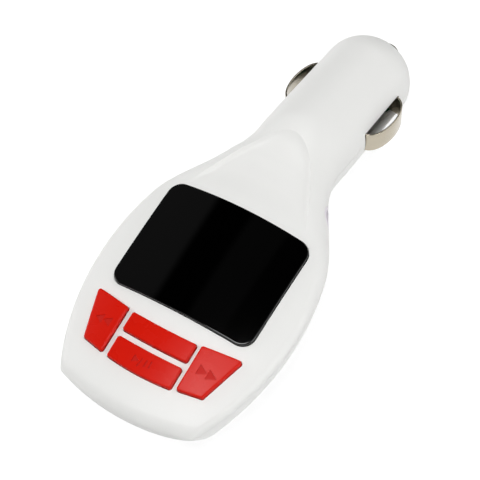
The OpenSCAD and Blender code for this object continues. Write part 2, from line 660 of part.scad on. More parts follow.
module lcd_ribbon() lying() color("orange") {
    y0 = -lcd_l/2 - pocket - frame_t;
    z0 = lcd_z - lcd_t + ribbon_t/2 + slip;
    translate([ribbon_x, 0, 0]) rotate([90, 0, 90]) linear_extrude(ribbon_w, center = true)
        polygon(band([[-lcd_l/2 - slip/2, z0], [y0 - 0.4, z0], [y0 - 0.9, z0 - 0.4], [y0 - 1, z0 - 1],
            [y0 - 1, board_top + slip/2]], ribbon_t));
}

// Main board and what it carries
board_points = concat(
    [for (i = [-4:4]) [board_c*i/4, near_edge(board_c*i/4)]],
    [for (i = [0:10]) let (y = board_start + (board_far - board_start)*i/10) [board_half(y), y]],
    [[board_half(jack_y - 1), jack_y - 1], [boss_r + 1.5, jack_y - 1], [boss_r + 0.6, board_far]],
    [for (i = [10:-1:0]) let (y = board_start + (board_far - board_start)*i/10) [-board_half(y), y]]);
module main_board() lying() color("darkgreen") difference() {
    prism(board_points, board_low, board_top);
    block([-reach, usb_y - usb_w/2 - slip, -reach], [usb_end + slip, usb_y + usb_w/2 + slip, 0]);
    screw_holes(screw_d/2 + 2*slip, -reach, 0);
}
module usb_can() lying() color("silver") difference() {
    block([usb_mouth, usb_y - usb_w/2, usb_low], [usb_end, usb_y + usb_w/2, usb_top]);
    block([usb_mouth - over, usb_y - usb_w/2 + usb_t, usb_low + usb_t],
        [usb_end - usb_t, usb_y + usb_w/2 - usb_t, usb_top - usb_t]);
}
tongue_w = 0.86*usb_w;
tongue_t = 1.8;
tongue_top = usb_top - usb_t - 0.9;
module usb_tongue() lying() color("white") union() {
    block([usb_mouth + 1, usb_y - tongue_w/2, tongue_top - tongue_t],
        [usb_end - usb_t, usb_y + tongue_w/2, tongue_top]);
    block([usb_end - usb_t - 2, usb_y - tongue_w/2, usb_low + usb_t],
        [usb_end - usb_t, usb_y + tongue_w/2, usb_top - usb_t]);
}
module usb_contacts() lying() color("gold") for (i = [-1.5:1:1.5])
    block([usb_mouth + 2, usb_y + 2.2*i - 0.5, tongue_top - tongue_t - 0.2],
        [usb_end - usb_t - 2, usb_y + 2.2*i + 0.5, tongue_top - tongue_t]);
module card_socket() lying() color("silver") difference() {
    block([card_end, card_y - card_w/2, card_low], [card_mouth, card_y + card_w/2, card_top]);
    block([card_end + 1, card_y - card_w/2 + 1.3, card_low + 0.3],
        [card_mouth + over, card_y + card_w/2 - 1.3, card_top - 0.3]);
}
module audio_jack() lying() color("#303034") at_jack() difference() {
    union() {
        block([-jack_l, -jack_w/2, -jack_h/2], [-1.1*wall, jack_w/2, jack_h/2]);
        crosswise(-1.5*wall, collar_l, jack_collar_r);
    }
    crosswise(1 - jack_l, collar_l + over, jack_bore/2);
}
chip_t = 1.2;
decoder_w = 7;
transmitter_w = 5;
crystal_w = 4.6;
crystal_l = 11;
crystal_h = 3.4;
module under_board(x, y, w, l, h) block([x - w/2, y - l/2, board_low - h], [x + w/2, y + l/2, board_low]);
module decoder_chip() lying() color("black") 
    under_board(-wing_x, widest_back + 2, decoder_w, decoder_w, chip_t);
module transmitter_chip() lying() color("black") 
    under_board(-widest_back/2, board_far - 4, transmitter_w, transmitter_w, chip_t);
module crystal() lying() color("silver") 
    under_board(-widest_back - 2, -near_l/2 - 2, crystal_w, crystal_l, crystal_h);

// Power parts in the barrel
supply_top = -1;
supply_w = 1.8*bore_r;
supply_l = 15;
supply_from = 1.6;
coil_core_r = 2.6;
coil_rim_r = 3.5;
capacitor_r = 2.5;
capacitor_h = 5.4;
module power_board() lying() color("darkgreen") in_plug()
    block([-supply_w/2, supply_from, supply_top - board_t], [supply_w/2, supply_l, supply_top]);
module power_inductor() lying() color("#5a4632") in_plug() translate([0, supply_l/3, supply_top]) union() {
    cylinder(r = coil_rim_r, h = 1);
    cylinder(r = coil_core_r, h = 4);
    translate([0, 0, 3.6]) cylinder(r = coil_rim_r, h = 1);
}
module power_capacitor() lying() color("#2c3440") in_plug() translate([-2.4, supply_l - 4.2, supply_top])
    cylinder(r = capacitor_r, h = capacitor_h);
module regulator_chip() lying() color("black") in_plug()
    block([-2.5, supply_l/2 - 2, supply_top - board_t - 1.6], [2.5, supply_l/2 + 2, supply_top - board_t]);

// Side springs, bowed out through their slots
leg_x = bore_r - 0.5 - leaf_t/2;
leaf_middle = slot_start + slot_l/2;
leaf_peak = plug_r + leaf_out - leaf_t/2;
leaf_half = (slot_l - leaf_t)/2 - 2*slip;
function leaf_spot(g) = [leg_x + (leaf_peak - leg_x)*pow(abs(sin(g)), 0.6),
    leaf_middle - leaf_half*sign(cos(g))*pow(abs(cos(g)), 1.05)];
leaf_path = concat([[leg_x, slot_start - 2.4], [leg_x, leaf_middle - leaf_half - leaf_t/2]],
    [for (g = [3, for (i = [1:23]) 7.5*i, 177]) leaf_spot(g)],
    [[leg_x, leaf_middle + leaf_half + leaf_t/2], [leg_x, slot_start + slot_l + 1.3]]);
module ground_spring(side) lying() color("silver") in_plug() mirror([side < 0 ? 1 : 0, 0, 0])
    translate([0, 0, -leaf_w/2]) linear_extrude(leaf_w) polygon(band(leaf_path, leaf_t));
module ground_spring_left() ground_spring(-1);
module ground_spring_right() ground_spring(1);

// Centre contact with its coil spring and the disc behind it
pin_flange_t = 1;
pin_flange_r = tip_d/2 + 1.5;
pin_back = nose_seat - slip/2 - pin_flange_t;
disc_front = slot_start + slot_l + 2.4;
disc_t = 0.8;
module centre_contact() lying() color("silver") in_plug() union() {
    along(pin_back, nose_seat - slip/2, pin_flange_r);
    along(nose_seat - slip, tip_reach - tip_d/2, tip_d/2);
    translate([0, tip_reach - tip_d/2, 0]) sphere(r = tip_d/2);
}
module contact_seat() lying() color("darkgreen") in_plug()
    along(disc_front - disc_t, disc_front, bore_r - slip);
coil_r = 2.5;
coil_wire = 0.3;
coil_turns = 5;
coil_from = disc_front + coil_wire + slip/2;
coil_to = pin_back - coil_wire - slip/2;
module contact_coil() lying() color("silver") in_plug() tube([for (i = [0:coil_turns*10])
    let (g = 36*i) [coil_r*cos(g), coil_from + (coil_to - coil_from)*i/(coil_turns*10), coil_r*sin(g)]],
    coil_wire, 6);
wire_r = 0.6;
function plug_at(x, y, z) = spine(bend_y)
    + [x, y*cos(plug_bend) + z*sin(plug_bend), z*cos(plug_bend) - y*sin(plug_bend)];
module tip_lead() lying() color("red") tube([
    plug_at(0, disc_front - disc_t - slip/2, 0), plug_at(0, disc_front - 5, 0.2),
    plug_at(2, supply_l + 3, 0.4), plug_at(3, supply_l - 1, supply_top + wire_r + 2*slip),
    plug_at(3, supply_l - 4, supply_top + wire_r + slip)], wire_r, 8);
module board_wire(x) tube([
    plug_at(x, supply_from + 2.4, supply_top + wire_r + slip),
    plug_at(x, supply_from + 0.3, supply_top + wire_r + 3*slip),
    [x, bend_y - 3, board_top + 2.6], [x, board_far + 1.6, board_top + 1.9],
    [x, board_far - 0.8, board_top + wire_r + slip],
    [x, board_far - 2.6, board_top + wire_r + slip]], wire_r, 8);
module supply_wire() lying() color("red") board_wire(-5);
module ground_wire() lying() color("black") board_wire(-7);

module housing_screws() lying() color("silver") for (q = screw_spots) translate([q[0], q[1], 0]) union() {
    translate([0, 0, screw_seat - screw_head_h]) cylinder(r = head_r, h = screw_head_h);
    translate([0, 0, screw_seat - sink]) cylinder(r = screw_d/2, h = -screw_seat - wall - crown_sink - 0.5);
}

top_shell();
bottom_shell();
display_window();
lcd_panel();
lcd_backlight();
lcd_frame();
lcd_ribbon();
main_board();
button_previous();
button_channel();
button_play();
button_next();
plunger_previous();
plunger_channel();
plunger_play();
plunger_next();
switch_bodies();
usb_can();
usb_tongue();
usb_contacts();
card_socket();
audio_jack();
decoder_chip();
transmitter_chip();
crystal();
power_board();
power_inductor();
power_capacitor();
regulator_chip();
ground_spring_left();
ground_spring_right();
centre_contact();
contact_coil();
contact_seat();
tip_lead();
supply_wire();
ground_wire();
housing_screws();
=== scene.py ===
"""Looks of the car FM transmitter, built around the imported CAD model."""

import json
import math

import bmesh
import bpy
from mathutils import Matrix, Vector


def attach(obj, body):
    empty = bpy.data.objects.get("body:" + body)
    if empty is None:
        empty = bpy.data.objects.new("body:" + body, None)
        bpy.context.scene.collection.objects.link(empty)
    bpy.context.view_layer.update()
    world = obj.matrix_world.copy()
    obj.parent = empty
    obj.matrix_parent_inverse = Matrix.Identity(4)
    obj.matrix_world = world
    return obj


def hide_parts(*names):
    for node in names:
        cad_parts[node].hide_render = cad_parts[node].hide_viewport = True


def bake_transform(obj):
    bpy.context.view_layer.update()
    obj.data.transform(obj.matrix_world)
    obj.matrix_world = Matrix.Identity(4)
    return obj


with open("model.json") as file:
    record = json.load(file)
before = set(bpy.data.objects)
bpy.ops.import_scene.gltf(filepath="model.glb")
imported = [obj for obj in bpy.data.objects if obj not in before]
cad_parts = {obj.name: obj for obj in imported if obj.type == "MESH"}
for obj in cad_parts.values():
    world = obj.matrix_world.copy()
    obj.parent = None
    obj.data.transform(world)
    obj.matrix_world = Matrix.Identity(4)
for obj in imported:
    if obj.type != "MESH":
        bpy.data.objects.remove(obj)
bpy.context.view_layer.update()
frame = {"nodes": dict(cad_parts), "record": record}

# Sizes are in mm, in the head's own frame: X to the right, Y towards the plug, Z out of the face,
# from the middle of the display at the top of the crown.

# Outline of the head: width, length from the display to the near end, arcs of the end and the sides
HEAD_W, NEAR_L, END_ARC_R, SIDE_ARC_R, CORNER_R = 47.52, 36.75, 47.7, 56.5, 0.42
# How far the widest place lies before the display's middle, and where the neck's flare runs
WIDEST_BACK, FLARE_START, FLARE_END = 5.85, 9.5, 33.0
# Crown of the face across and along, thickness of the shells
CROWN_R, CROWN_LEN_R, WALL = 70.0, 247.0, 1.8
# Roundings of the near end over and under the joint
END_ROUND, HEEL_ROUND, HEEL_POWER = 3.0, 4.2, 1.3
# Depth of the joint at the plug and round the head, and where it starts to come down
RIM_DEPTH, HEAD_RIM, RIM_FALL = 7.2, 5.85, 8.0
# Depth of the belly, how much its sides lean in, and how square its section is
BELLY_DEPTH, LEAN, BELLY_SQUARE = 17.37, 0.1, 3.0
# Recessed panel on the neck, and the width of the slope round it
ARCH_HALF_W, ARCH_FOOT, ARCH_TOP, ARCH_DEPTH, ARCH_SLOPE = 14.4, 14.2, 31.8, 0.9, 1.4
# Plug: across, angle to the head in degrees, where it bends, straight length and nose
PLUG_D, PLUG_BEND, BEND_Y, BARREL_L, NOSE_L = 20.8, 17.0, 25.8, 35.6, 9.6
# How much slimmer the barrel is at its far end, and how much shorter the nose, than in the CAD
DRAFT, DRAFT_FROM, NOSE_CUT = 0.16, 10.0, 0.33
# Hole for the contact in the nose, and the contact's tip across
TIP_HOLE_R, TIP_D = 2.35, 4.0
SLOT_START, SLOT_L, SLOT_H, SLOT_CORNER = 18.6, 14.6, 5.2, 0.4
LEAF_W, LEAF_T, LEAF_EDGE = 4.8, 0.4, 0.12
# How far each side spring bows out of the barrel
LEAF_OUT = {-1: 2.15, 1: 2.9}
# Width and depth of the fine groove along the joint of the two shells
GROOVE = 0.12
WINDOW_CORNER, WINDOW_BOW = 3.0, 0.3
WINDOW_RISE, WINDOW_SEAT, WINDOW_LEDGE, WINDOW_ROUND = 0.7, 0.95, 1.8, 0.2
BUTTON_RISE, BUTTON_CORNER, BUTTON_ROUND = 0.9, 0.55, 0.4
# Play round the window and the buttons, and the small clearance between the inner parts
FACE_PLAY, SLIP = 0.14, 0.1
# Flange and stem of a button
FLANGE_W, FLANGE_T, STEM_D = 0.5, 0.8, 2.6
# Top of the main board, and how far the switches' plungers stand over it
BOARD_TOP, PLUNGER_UP = -10.0, 3.9
# Reach of a cutter past the surface that it leaves
OVER = 3
# Angles, in degrees, over which an edge stays sharp
SHELL_SHARP, SHARP = 9, 35

PLUG_R = PLUG_D / 2
HALF_W = HEAD_W / 2
BORE_R = PLUG_R - WALL
# Where the neck's top leaves the crown and where it has become the barrel's, and half the stretch
# over which the sections turn from the head's to the plug's
RISE_START = BEND_Y - PLUG_R / 6
RISE_END = BEND_Y + PLUG_R
TURN_HALF = 0.7 * PLUG_R
BEND = math.radians(PLUG_BEND)
# Longer than the part, for cutters that run out of it
REACH = 3 * NEAR_L
TINY = 1e-6

# Steps of the shells' meshes: round the near end in degrees, along the head, the barrel and the nose
END_ANGLES = [0, 1.2] + [6 * i for i in range(1, 15)]
HEAD_ROWS, BARREL_ROWS, NOSE_ROWS = 60, 40, 20
# Steps of half a section: up the flank, over the crown, and down the belly
FLANK_STEPS, CROWN_STEPS, BELLY_STEPS = 18, 22, 40
# The first step past the groove, in widths of the groove
GROOVE_SHARE = 1.3
# Share of the panel's top past which the crown's edge stays where it is
ARCH_EDGE = 0.9

# How the part lies: tilt, height of the floor and middle of its length
TILT = math.radians(6.565817)
FLOOR_Z = -21.0247985
MIDDLE_Y = 18.3675607


def row(p):
    """A point of the head's own frame, in mm, as a point of the shared frame, in metres."""
    x, y, z = p
    c, s = math.cos(TILT), math.sin(TILT)
    return Vector((x, y * c - z * s - MIDDLE_Y, y * s + z * c - FLOOR_Z)) / 1000


def row_direction(d):
    """A direction of the head's frame as one of the shared frame."""
    return row(d) - row((0, 0, 0))


def plug(x, y, z):
    """A point of the plug's frame, whose Y runs along its axis from the bend."""
    return (x, BEND_Y + y * math.cos(BEND) + z * math.sin(BEND),
            -RIM_DEPTH + z * math.cos(BEND) - y * math.sin(BEND))


def unit(v):
    """The value, held between 0 and 1."""
    return max(0.0, min(1.0, v))


def smooth(t):
    """Smooth step from 0 to 1 as t goes from 0 to 1."""
    return unit(t) ** 2 * (3 - 2 * unit(t))


def ease(a, b, m, t, length):
    """Curve from a, where its slope is m, to b, where it is level; t is the share of its length."""
    return ((2 * t**3 - 3 * t * t + 1) * a + (t**3 - 2 * t * t + t) * length * m
            + (3 * t * t - 2 * t**3) * b)


def sag(x, r):
    """How far an arc of radius r has come down at x from its top."""
    return r - math.sqrt(max(0.0, r * r - x * x))


def face_z(x, y):
    """Height of the crowned face."""
    return -sag(x, CROWN_R) - sag(y, CROWN_LEN_R)


def side_arc(y):
    """Half width of the head along its long side arc."""
    return HALF_W - sag(y + WIDEST_BACK, SIDE_ARC_R)


def half_width(y):
    """Half width of the head, of the flare of the neck, or of the plug."""
    if y < FLARE_START:
        return side_arc(y)
    if y > FLARE_END:
        return PLUG_R
    slope = -(FLARE_START + WIDEST_BACK) / SIDE_ARC_R
    length = FLARE_END - FLARE_START
    return ease(side_arc(FLARE_START), PLUG_R, slope, (y - FLARE_START) / length, length)


def bow(y):
    """How strongly the cross line at y bends, so that it follows the near end's arc."""
    return (1 - smooth((y + NEAR_L) / (NEAR_L - WIDEST_BACK))) / (2 * END_ARC_R)


def rim_half(y):
    """Half width of the section whose middle is at y, found by a few rounds of correction."""
    w = half_width(y)
    for _ in range(4):
        w = half_width(y + bow(y) * w * w)
    return w


def neck_share(y):
    """How far the neck's top has risen from the crown to the barrel, as a share."""
    return (y - RISE_START) / (RISE_END - RISE_START)


def fall(y):
    """How far the joint has come down from the head's depth to the plug's, as a share."""
    return smooth((y - RIM_FALL) / (RISE_START - RIM_FALL))


def rim(y):
    """Depth of the joint below the top of the crown."""
    return HEAD_RIM + (RIM_DEPTH - HEAD_RIM) * fall(y)


def belly(y):
    """Depth of the lower shell below the joint."""
    return PLUG_R + (BELLY_DEPTH - HEAD_RIM - PLUG_R) * (1 - fall(y))


def top_height(y):
    """Height of the upper shell over the joint, along its middle."""
    if y < RISE_START:
        return rim(y) + face_z(0, y)
    if y > RISE_END:
        return PLUG_R
    return ease(RIM_DEPTH + face_z(0, RISE_START), PLUG_R, -RISE_START / CROWN_LEN_R,
                neck_share(y), RISE_END - RISE_START)


def top_radius(y):
    """Radius of the upper section's crown."""
    return 1 / (1 / CROWN_R + (1 / PLUG_R - 1 / CROWN_R) * smooth(neck_share(y)))


def arch_half(y):
    """Half width of the recessed panel on the neck."""
    return ARCH_HALF_W * math.sqrt(unit((ARCH_TOP - y) / (ARCH_TOP - ARCH_FOOT)))


def turn(y):
    """Angle that the section at y has turned by, from the head towards the plug."""
    return BEND * smooth((y - BEND_Y + TURN_HALF) / (2 * TURN_HALF))


def place(y, x, up):
    """Point of the section at y, across and over the joint, as a point of the head's frame."""
    past = max(0.0, y - BEND_Y)
    along = min(y, BEND_Y) + past * math.cos(BEND)
    down = -rim(min(y, BEND_Y)) - past * math.sin(BEND)
    a = turn(y)
    return (x, along + up * math.sin(a) + bow(y) * x * x, down + up * math.cos(a))


def bowed_face(y, x):
    """How much lower the face is at x than at the middle, because the cross line bends."""
    return face_z(0, y + bow(y) * x * x) - face_z(0, y)


def edge_x(y, w, r, h):
    """Where the crown of the section gives way to the rounding down to the joint."""
    k = r - h
    tangent = 0.0
    if r - w > TINY:
        f = (r * r - w * w - k * k) / (2 * (r - w))
        if f < w:
            tangent = (w - f) * r / (r - f)
    return tangent if y < ARCH_FOOT else max(tangent, arch_half(min(y, ARCH_EDGE * ARCH_TOP)))


def corner_cut(d):
    """How much narrower the head is at a distance from its near end, for its two corners."""
    short = max(0.0, CORNER_R - d)
    return CORNER_R - math.sqrt(max(0.0, CORNER_R**2 - short**2))


def top_arcs(y, t):
    """Half width, crown radius, height, crown's edge and fillet of the upper section, inset by t."""
    w = rim_half(y) - t - corner_cut(y + NEAR_L - t)
    r = top_radius(y) - t
    h = top_height(y) - t
    e = edge_x(y, w, r, h + bowed_face(y, w))
    b = h - sag(e, r) + bowed_face(y, e)
    a = w - e
    return w, r, h, e, (a * a + b * b) / (2 * a)


def top_up(y, x):
    """Height of the upper shell over the joint at x."""
    w, r, h, e, fillet = top_arcs(y, 0)
    if abs(x) < e:
        return h - sag(x, r) + bowed_face(y, x)
    return math.sqrt(max(0.0, fillet**2 - (abs(x) - w + fillet) ** 2))


def end_share(d, length, n):
    """Share of the full height at a distance from the near end."""
    if d <= 0:
        return 0.0
    if d >= length:
        return 1.0
    return (1 - (1 - d / length) ** n) ** (1 / n)


def belly_share(y):
    """How much of the head's squarer, leaning belly the section at y still has."""
    return 1 - smooth((y - FLARE_START) / (RISE_END - FLARE_START))


def top_half(y, t, groove):
    """Half of the upper section at y, inset by t: (across, up) from the joint to the middle."""
    w, r, h, e, fillet = top_arcs(y, t)
    swing = math.asin(min(1.0, (h - sag(e, r) + bowed_face(y, e)) / fillet))
    angles = [GROOVE_SHARE * GROOVE / fillet]
    angles += [swing * i / FLANK_STEPS for i in range(1, FLANK_STEPS + 1)]
    flank = [(w - fillet + fillet * math.cos(g), fillet * math.sin(g)) for g in angles]
    xs = [e * (1 - i / CROWN_STEPS) for i in range(1, CROWN_STEPS + 1)]
    share = end_share(y + NEAR_L - t, END_ROUND, 2)
    return [(x, up * share) for x, up in
            [(w - groove, 0.0)] + flank + [(x, h - sag(x, r) + bowed_face(y, x)) for x in xs]]


def low_half(y, t, groove):
    """Half of the lower section at y, inset by t."""
    w = rim_half(y) - t - corner_cut(y + NEAR_L - t)
    p = 2 + (BELLY_SQUARE - 2) * belly_share(y)
    share = end_share(y + NEAR_L - t, HEEL_ROUND, HEEL_POWER)
    points = [(w - groove, 0.0)]
    deep = belly(y) - t
    low = math.degrees(math.asin((GROOVE_SHARE * GROOVE / deep) ** (p / 2)))
    for g in [low] + [low + (90 - low) * i / BELLY_STEPS for i in range(1, BELLY_STEPS + 1)]:
        a = math.radians(g)
        z = deep * math.sin(a) ** (2 / p)
        x = (w - LEAN * belly_share(y) * z) * max(0.0, math.cos(a)) ** (2 / p)
        points.append((0.0 if g == 90 else x, -z * share))
    return points


def mirrored(half):
    """Whole section from its half."""
    return half + [(-x, up) for x, up in reversed(half[:-1])]


def rows_of(half_of, t, groove):
    """Rows of points from the near end over the head, neck and barrel to the domed nose."""
    length = END_ROUND if half_of is top_half else HEEL_ROUND
    ys = [t - NEAR_L + length * (1 - math.cos(math.radians(g))) for g in END_ANGLES]
    start = ys[-1]
    ys += [start + (BEND_Y - start) * i / HEAD_ROWS for i in range(1, HEAD_ROWS + 1)]
    ys += [BEND_Y + BARREL_L * i / BARREL_ROWS for i in range(1, BARREL_ROWS + 1)]

    def section(y):
        drawn = smooth((y - BEND_Y - DRAFT_FROM) / (BARREL_L - DRAFT_FROM))
        slim = 1 if t else 1 - DRAFT / PLUG_R * drawn
        return [(x * slim, up * slim) for x, up in mirrored(half_of(y, t, groove))]

    rows = [[place(y + (groove if k == 0 else 0), x, up) for x, up in section(y)]
            for k, y in enumerate(ys)]
    height = NOSE_L - t if t else NOSE_L - NOSE_CUT
    last = math.acos(SEAT_R / BORE_R if t else TIP_HOLE_R / (PLUG_R - DRAFT))
    top = section(BEND_Y + BARREL_L)
    for i in range(1, NOSE_ROWS + 1):
        g = last * i / NOSE_ROWS
        y = BEND_Y + BARREL_L + height * math.sin(g)
        rows.append([place(y, x * math.cos(g), up * math.cos(g)) for x, up in top])
    return rows


# Flat seat of the contact inside the nose: its place along the plug's axis and its radius
NOSE_SEAT = BARREL_L + NOSE_L - WALL - TIP_D / 3
SEAT_R = BORE_R * math.sqrt(1 - ((NOSE_SEAT - BARREL_L) / (NOSE_L - WALL)) ** 2)


def make(name, points, faces):
    """New mesh object from points of the head's frame, in mm."""
    mesh = bpy.data.meshes.new(name)
    mesh.from_pydata([row(p) for p in points], [], faces)
    shape = bmesh.new()
    shape.from_mesh(mesh)
    bmesh.ops.recalc_face_normals(shape, faces=shape.faces)
    shape.to_mesh(mesh)
    shape.free()
    piece = bpy.data.objects.new(name, mesh)
    bpy.context.scene.collection.objects.link(piece)
    return piece


def shell_form(name, half_of):
    """One closed half of the housing: outer rows, a flat ring at the tip's hole, inner rows back."""
    outer = rows_of(half_of, 0.0, GROOVE)
    inner = rows_of(half_of, WALL, 0.0)
    middle = place(BEND_Y + NOSE_SEAT, 0, 0)
    share = TIP_HOLE_R / SEAT_R
    ring = [tuple(m + (q - m) * share for q, m in zip(p, middle)) for p in inner[-1]]
    rows = outer + [ring] + inner[::-1]
    n, k, m = len(outer[0]), len(rows), len(outer)
    faces = []
    for j in range(k):
        a, b = j * n, (j + 1) % k * n
        faces += [(a + i, a + i + 1, b + i + 1, b + i) for i in range(n - 1)]
    for end in (0, n - 1):
        edge = [j * n + end for j in range(k)]
        strip = [(edge[j], edge[j + 1], edge[k - 2 - j], edge[(k - 1 - j) % k]) for j in range(m - 1)]
        strip.append((edge[m - 1], edge[m], edge[m + 1]))
        faces += [f if end else f[::-1] for f in strip]
    return make(name, [p for r in rows for p in r], faces)


def rounded(corners, bows, r, grow, k, arc):
    """Outline with rounded corners, grown by a margin, whose edges bow outwards.

    k is the number of points inside an edge, and arc the number of steps round a corner."""
    n = len(corners)

    def outward(p, q):
        d = (q[0] - p[0], q[1] - p[1])
        size = math.hypot(*d)
        return d[1] / size, -d[0] / size

    def centre(i):
        a = outward(corners[i - 1], corners[i % n])
        b = outward(corners[i % n], corners[(i + 1) % n])
        dot = 1 + a[0] * b[0] + a[1] * b[1]
        return [corners[i % n][j] - r * (a[j] + b[j]) / dot for j in (0, 1)]

    points = []
    for i in range(n):
        a = outward(corners[i - 1], corners[i])
        b = outward(corners[i], corners[(i + 1) % n])
        start, stop = math.atan2(a[1], a[0]), math.atan2(b[1], b[0])
        stop += 2 * math.pi if stop < start else 0
        m, m2 = centre(i), centre((i + 1) % n)
        for j in range(arc + 1):
            g = start + (stop - start) * j / arc
            points.append((m[0] + (r + grow) * math.cos(g), m[1] + (r + grow) * math.sin(g)))
        for j in range(1, k + 1):
            u = j / (k + 1)
            out = r + grow + bows[i] * 4 * u * (1 - u)
            points.append(tuple(m[c] + (m2[c] - m[c]) * u + out * b[c] for c in (0, 1)))
    return points


def stack(name, low, rings, high):
    """Closed skin over rings, with a point below and a point above."""
    n, m = len(rings[0]), len(rings)
    points = [low] + [p for r in rings for p in r] + [high]
    faces = [(0, 1 + (i + 1) % n, 1 + i) for i in range(n)]
    for k in range(m - 1):
        a = 1 + k * n
        faces += [(a + i, a + (i + 1) % n, a + n + (i + 1) % n, a + n + i) for i in range(n)]
    a = 1 + (m - 1) * n
    faces += [(a + i, a + (i + 1) % n, m * n + 1) for i in range(n)]
    return make(name, points, faces)


def pad(name, corners, bows, r, levels, k=14, arc=8):
    """Crowned piece that follows the face; each level is (growth, height over the face, share)."""
    n = len(corners)
    mid = [sum(c[i] for c in corners) / n for i in (0, 1)]
    rings = []
    for grow, height, share in levels:
        ring = []
        for q in rounded(corners, bows, r, grow, k, arc):
            x, y = [mid[i] + (q[i] - mid[i]) * share for i in (0, 1)]
            ring.append((x, y, face_z(x, y) + height))
        rings.append(ring)
    z = face_z(*mid)
    return stack(name, (*mid, z + levels[0][1]), rings, (*mid, z + levels[-1][1]))


def round_levels(height, radius):
    """Levels of a pad that round its upper edge."""
    angles = [math.radians(g) for g in range(0, 91, 10)]
    return [(-radius * (1 - math.cos(g)), height - radius * (1 - math.sin(g)), 1) for g in angles]


def block(name, a, b):
    """Box between two corners."""
    corners = [(x, y, z) for x in (a[0], b[0]) for y in (a[1], b[1]) for z in (a[2], b[2])]
    return make(name, corners, [(0, 1, 3, 2), (4, 6, 7, 5), (0, 4, 5, 1), (2, 3, 7, 6), (0, 2, 6, 4),
                                (1, 5, 7, 3)])


def rod(name, start, stop, radius, sides=64):
    """Cylinder between two points of the head's frame."""
    axis = (Vector(stop) - Vector(start)).normalized()
    a = axis.orthogonal().normalized()
    b = axis.cross(a)
    rings = [[tuple(Vector(p) + radius * (math.cos(g) * a + math.sin(g) * b))
              for g in [2 * math.pi * i / sides for i in range(sides)]] for p in (start, stop)]
    return stack(name, start, rings, stop)


def cut(piece, cutters):
    """Cuts the cutters out of a piece and leaves a plain mesh."""
    for cutter in cutters:
        step = piece.modifiers.new("cut", "BOOLEAN")
        step.operation = "DIFFERENCE"
        step.solver = "MANIFOLD"
        step.object = cutter
    shape = bpy.data.meshes.new_from_object(piece.evaluated_get(bpy.context.evaluated_depsgraph_get()))
    piece.modifiers.clear()
    piece.data = shape
    for cutter in cutters:
        bpy.data.objects.remove(cutter)


def soften(piece, angle):
    """Smooth shading, with edges over the angle, in degrees, kept sharp."""
    for face in piece.data.polygons:
        face.use_smooth = True
    piece.data.set_sharp_from_angle(angle=math.radians(angle))


# Outlines on the face, corner by corner, and how far each edge bows outwards
WINDOW = [(17.38, -13.0), (17.38, 13.05), (-17.05, 13.05), (-17.05, -13.0)]
WINDOW_BOWS = (0, WINDOW_BOW, 0, 0)
CHANNEL = [(-7.6, -21.5), (8.2, -21.5), (8.2, -17.17), (-7.6, -17.17)]
PLAY = [(-7.55, -27.8), (8.15, -27.8), (8.15, -22.86), (-7.55, -22.86)]
CHANNEL_BOWS, PLAY_BOWS = (0.25, 0, -0.25, 0), (0.5, 0, -0.25, 0)
NEXT = [(9.2, -27.3), (14.72, -26.1), (17.93, -15.37), (9.15, -16.8)]
PREVIOUS = [(-17.93, -15.37), (-14.55, -26.3), (-8.95, -27.5), (-8.95, -16.8)]
STRAIGHT = (0, 0, 0, 0)
BUTTONS = {"previous": (PREVIOUS, STRAIGHT), "channel": (CHANNEL, CHANNEL_BOWS),
           "play": (PLAY, PLAY_BOWS), "next": (NEXT, STRAIGHT)}

# Shares of the way out from the middle: rings under the window, and on top of it and of a button
SEAT_SHARES = [k / 8 for k in range(1, 9)]
WINDOW_SHARES = [k / 60 for k in (59.5, 58.5, *range(55, 0, -5))]
BUTTON_SHARES = [k / 50 for k in (49, *range(45, 0, -5))]

# Cutters of the shells
PANEL_STEPS, PANEL_RINGS = 96, 16
# The panel's depth at its foot, as a share, and how fast it grows from there
PANEL_FOOT, PANEL_GROWTH = 0.08, 2.5
# Slope round the panel: share of its width from the border, and share of the depth there
PANEL_SLOPE = ((0.75, 0.94), (0.5, 0.78), (0.3, 0.56), (0.15, 0.32))
# How far the cutter flares past the border, as a share of the slope and of the depth
PANEL_PAST, PANEL_LIFT = 0.1, 0.2
# How high the cutter's sides and its middle stand over the neck
PANEL_SIDE_TOP, PANEL_MIDDLE_TOP = 2, 4
# How far the slope reaches down from the panel's top, in widths of the slope
PANEL_TOP_SLOPE = 1.4


def panel_line(half, top, foot):
    """Outline of the panel: a parabola over a straight foot."""
    us = [1 - 2 * i / PANEL_STEPS for i in range(PANEL_STEPS + 1)]
    return [(half * u, top - (top - foot) * u * u) for u in us] + [
        (half * (i / 10 - 1), foot) for i in range(1, 20)]


def panel_deep(y):
    """Depth of the panel below the neck."""
    grown = smooth(PANEL_GROWTH * (y - ARCH_FOOT) / (ARCH_TOP - ARCH_FOOT))
    return ARCH_DEPTH * (PANEL_FOOT + (1 - PANEL_FOOT) * grown)


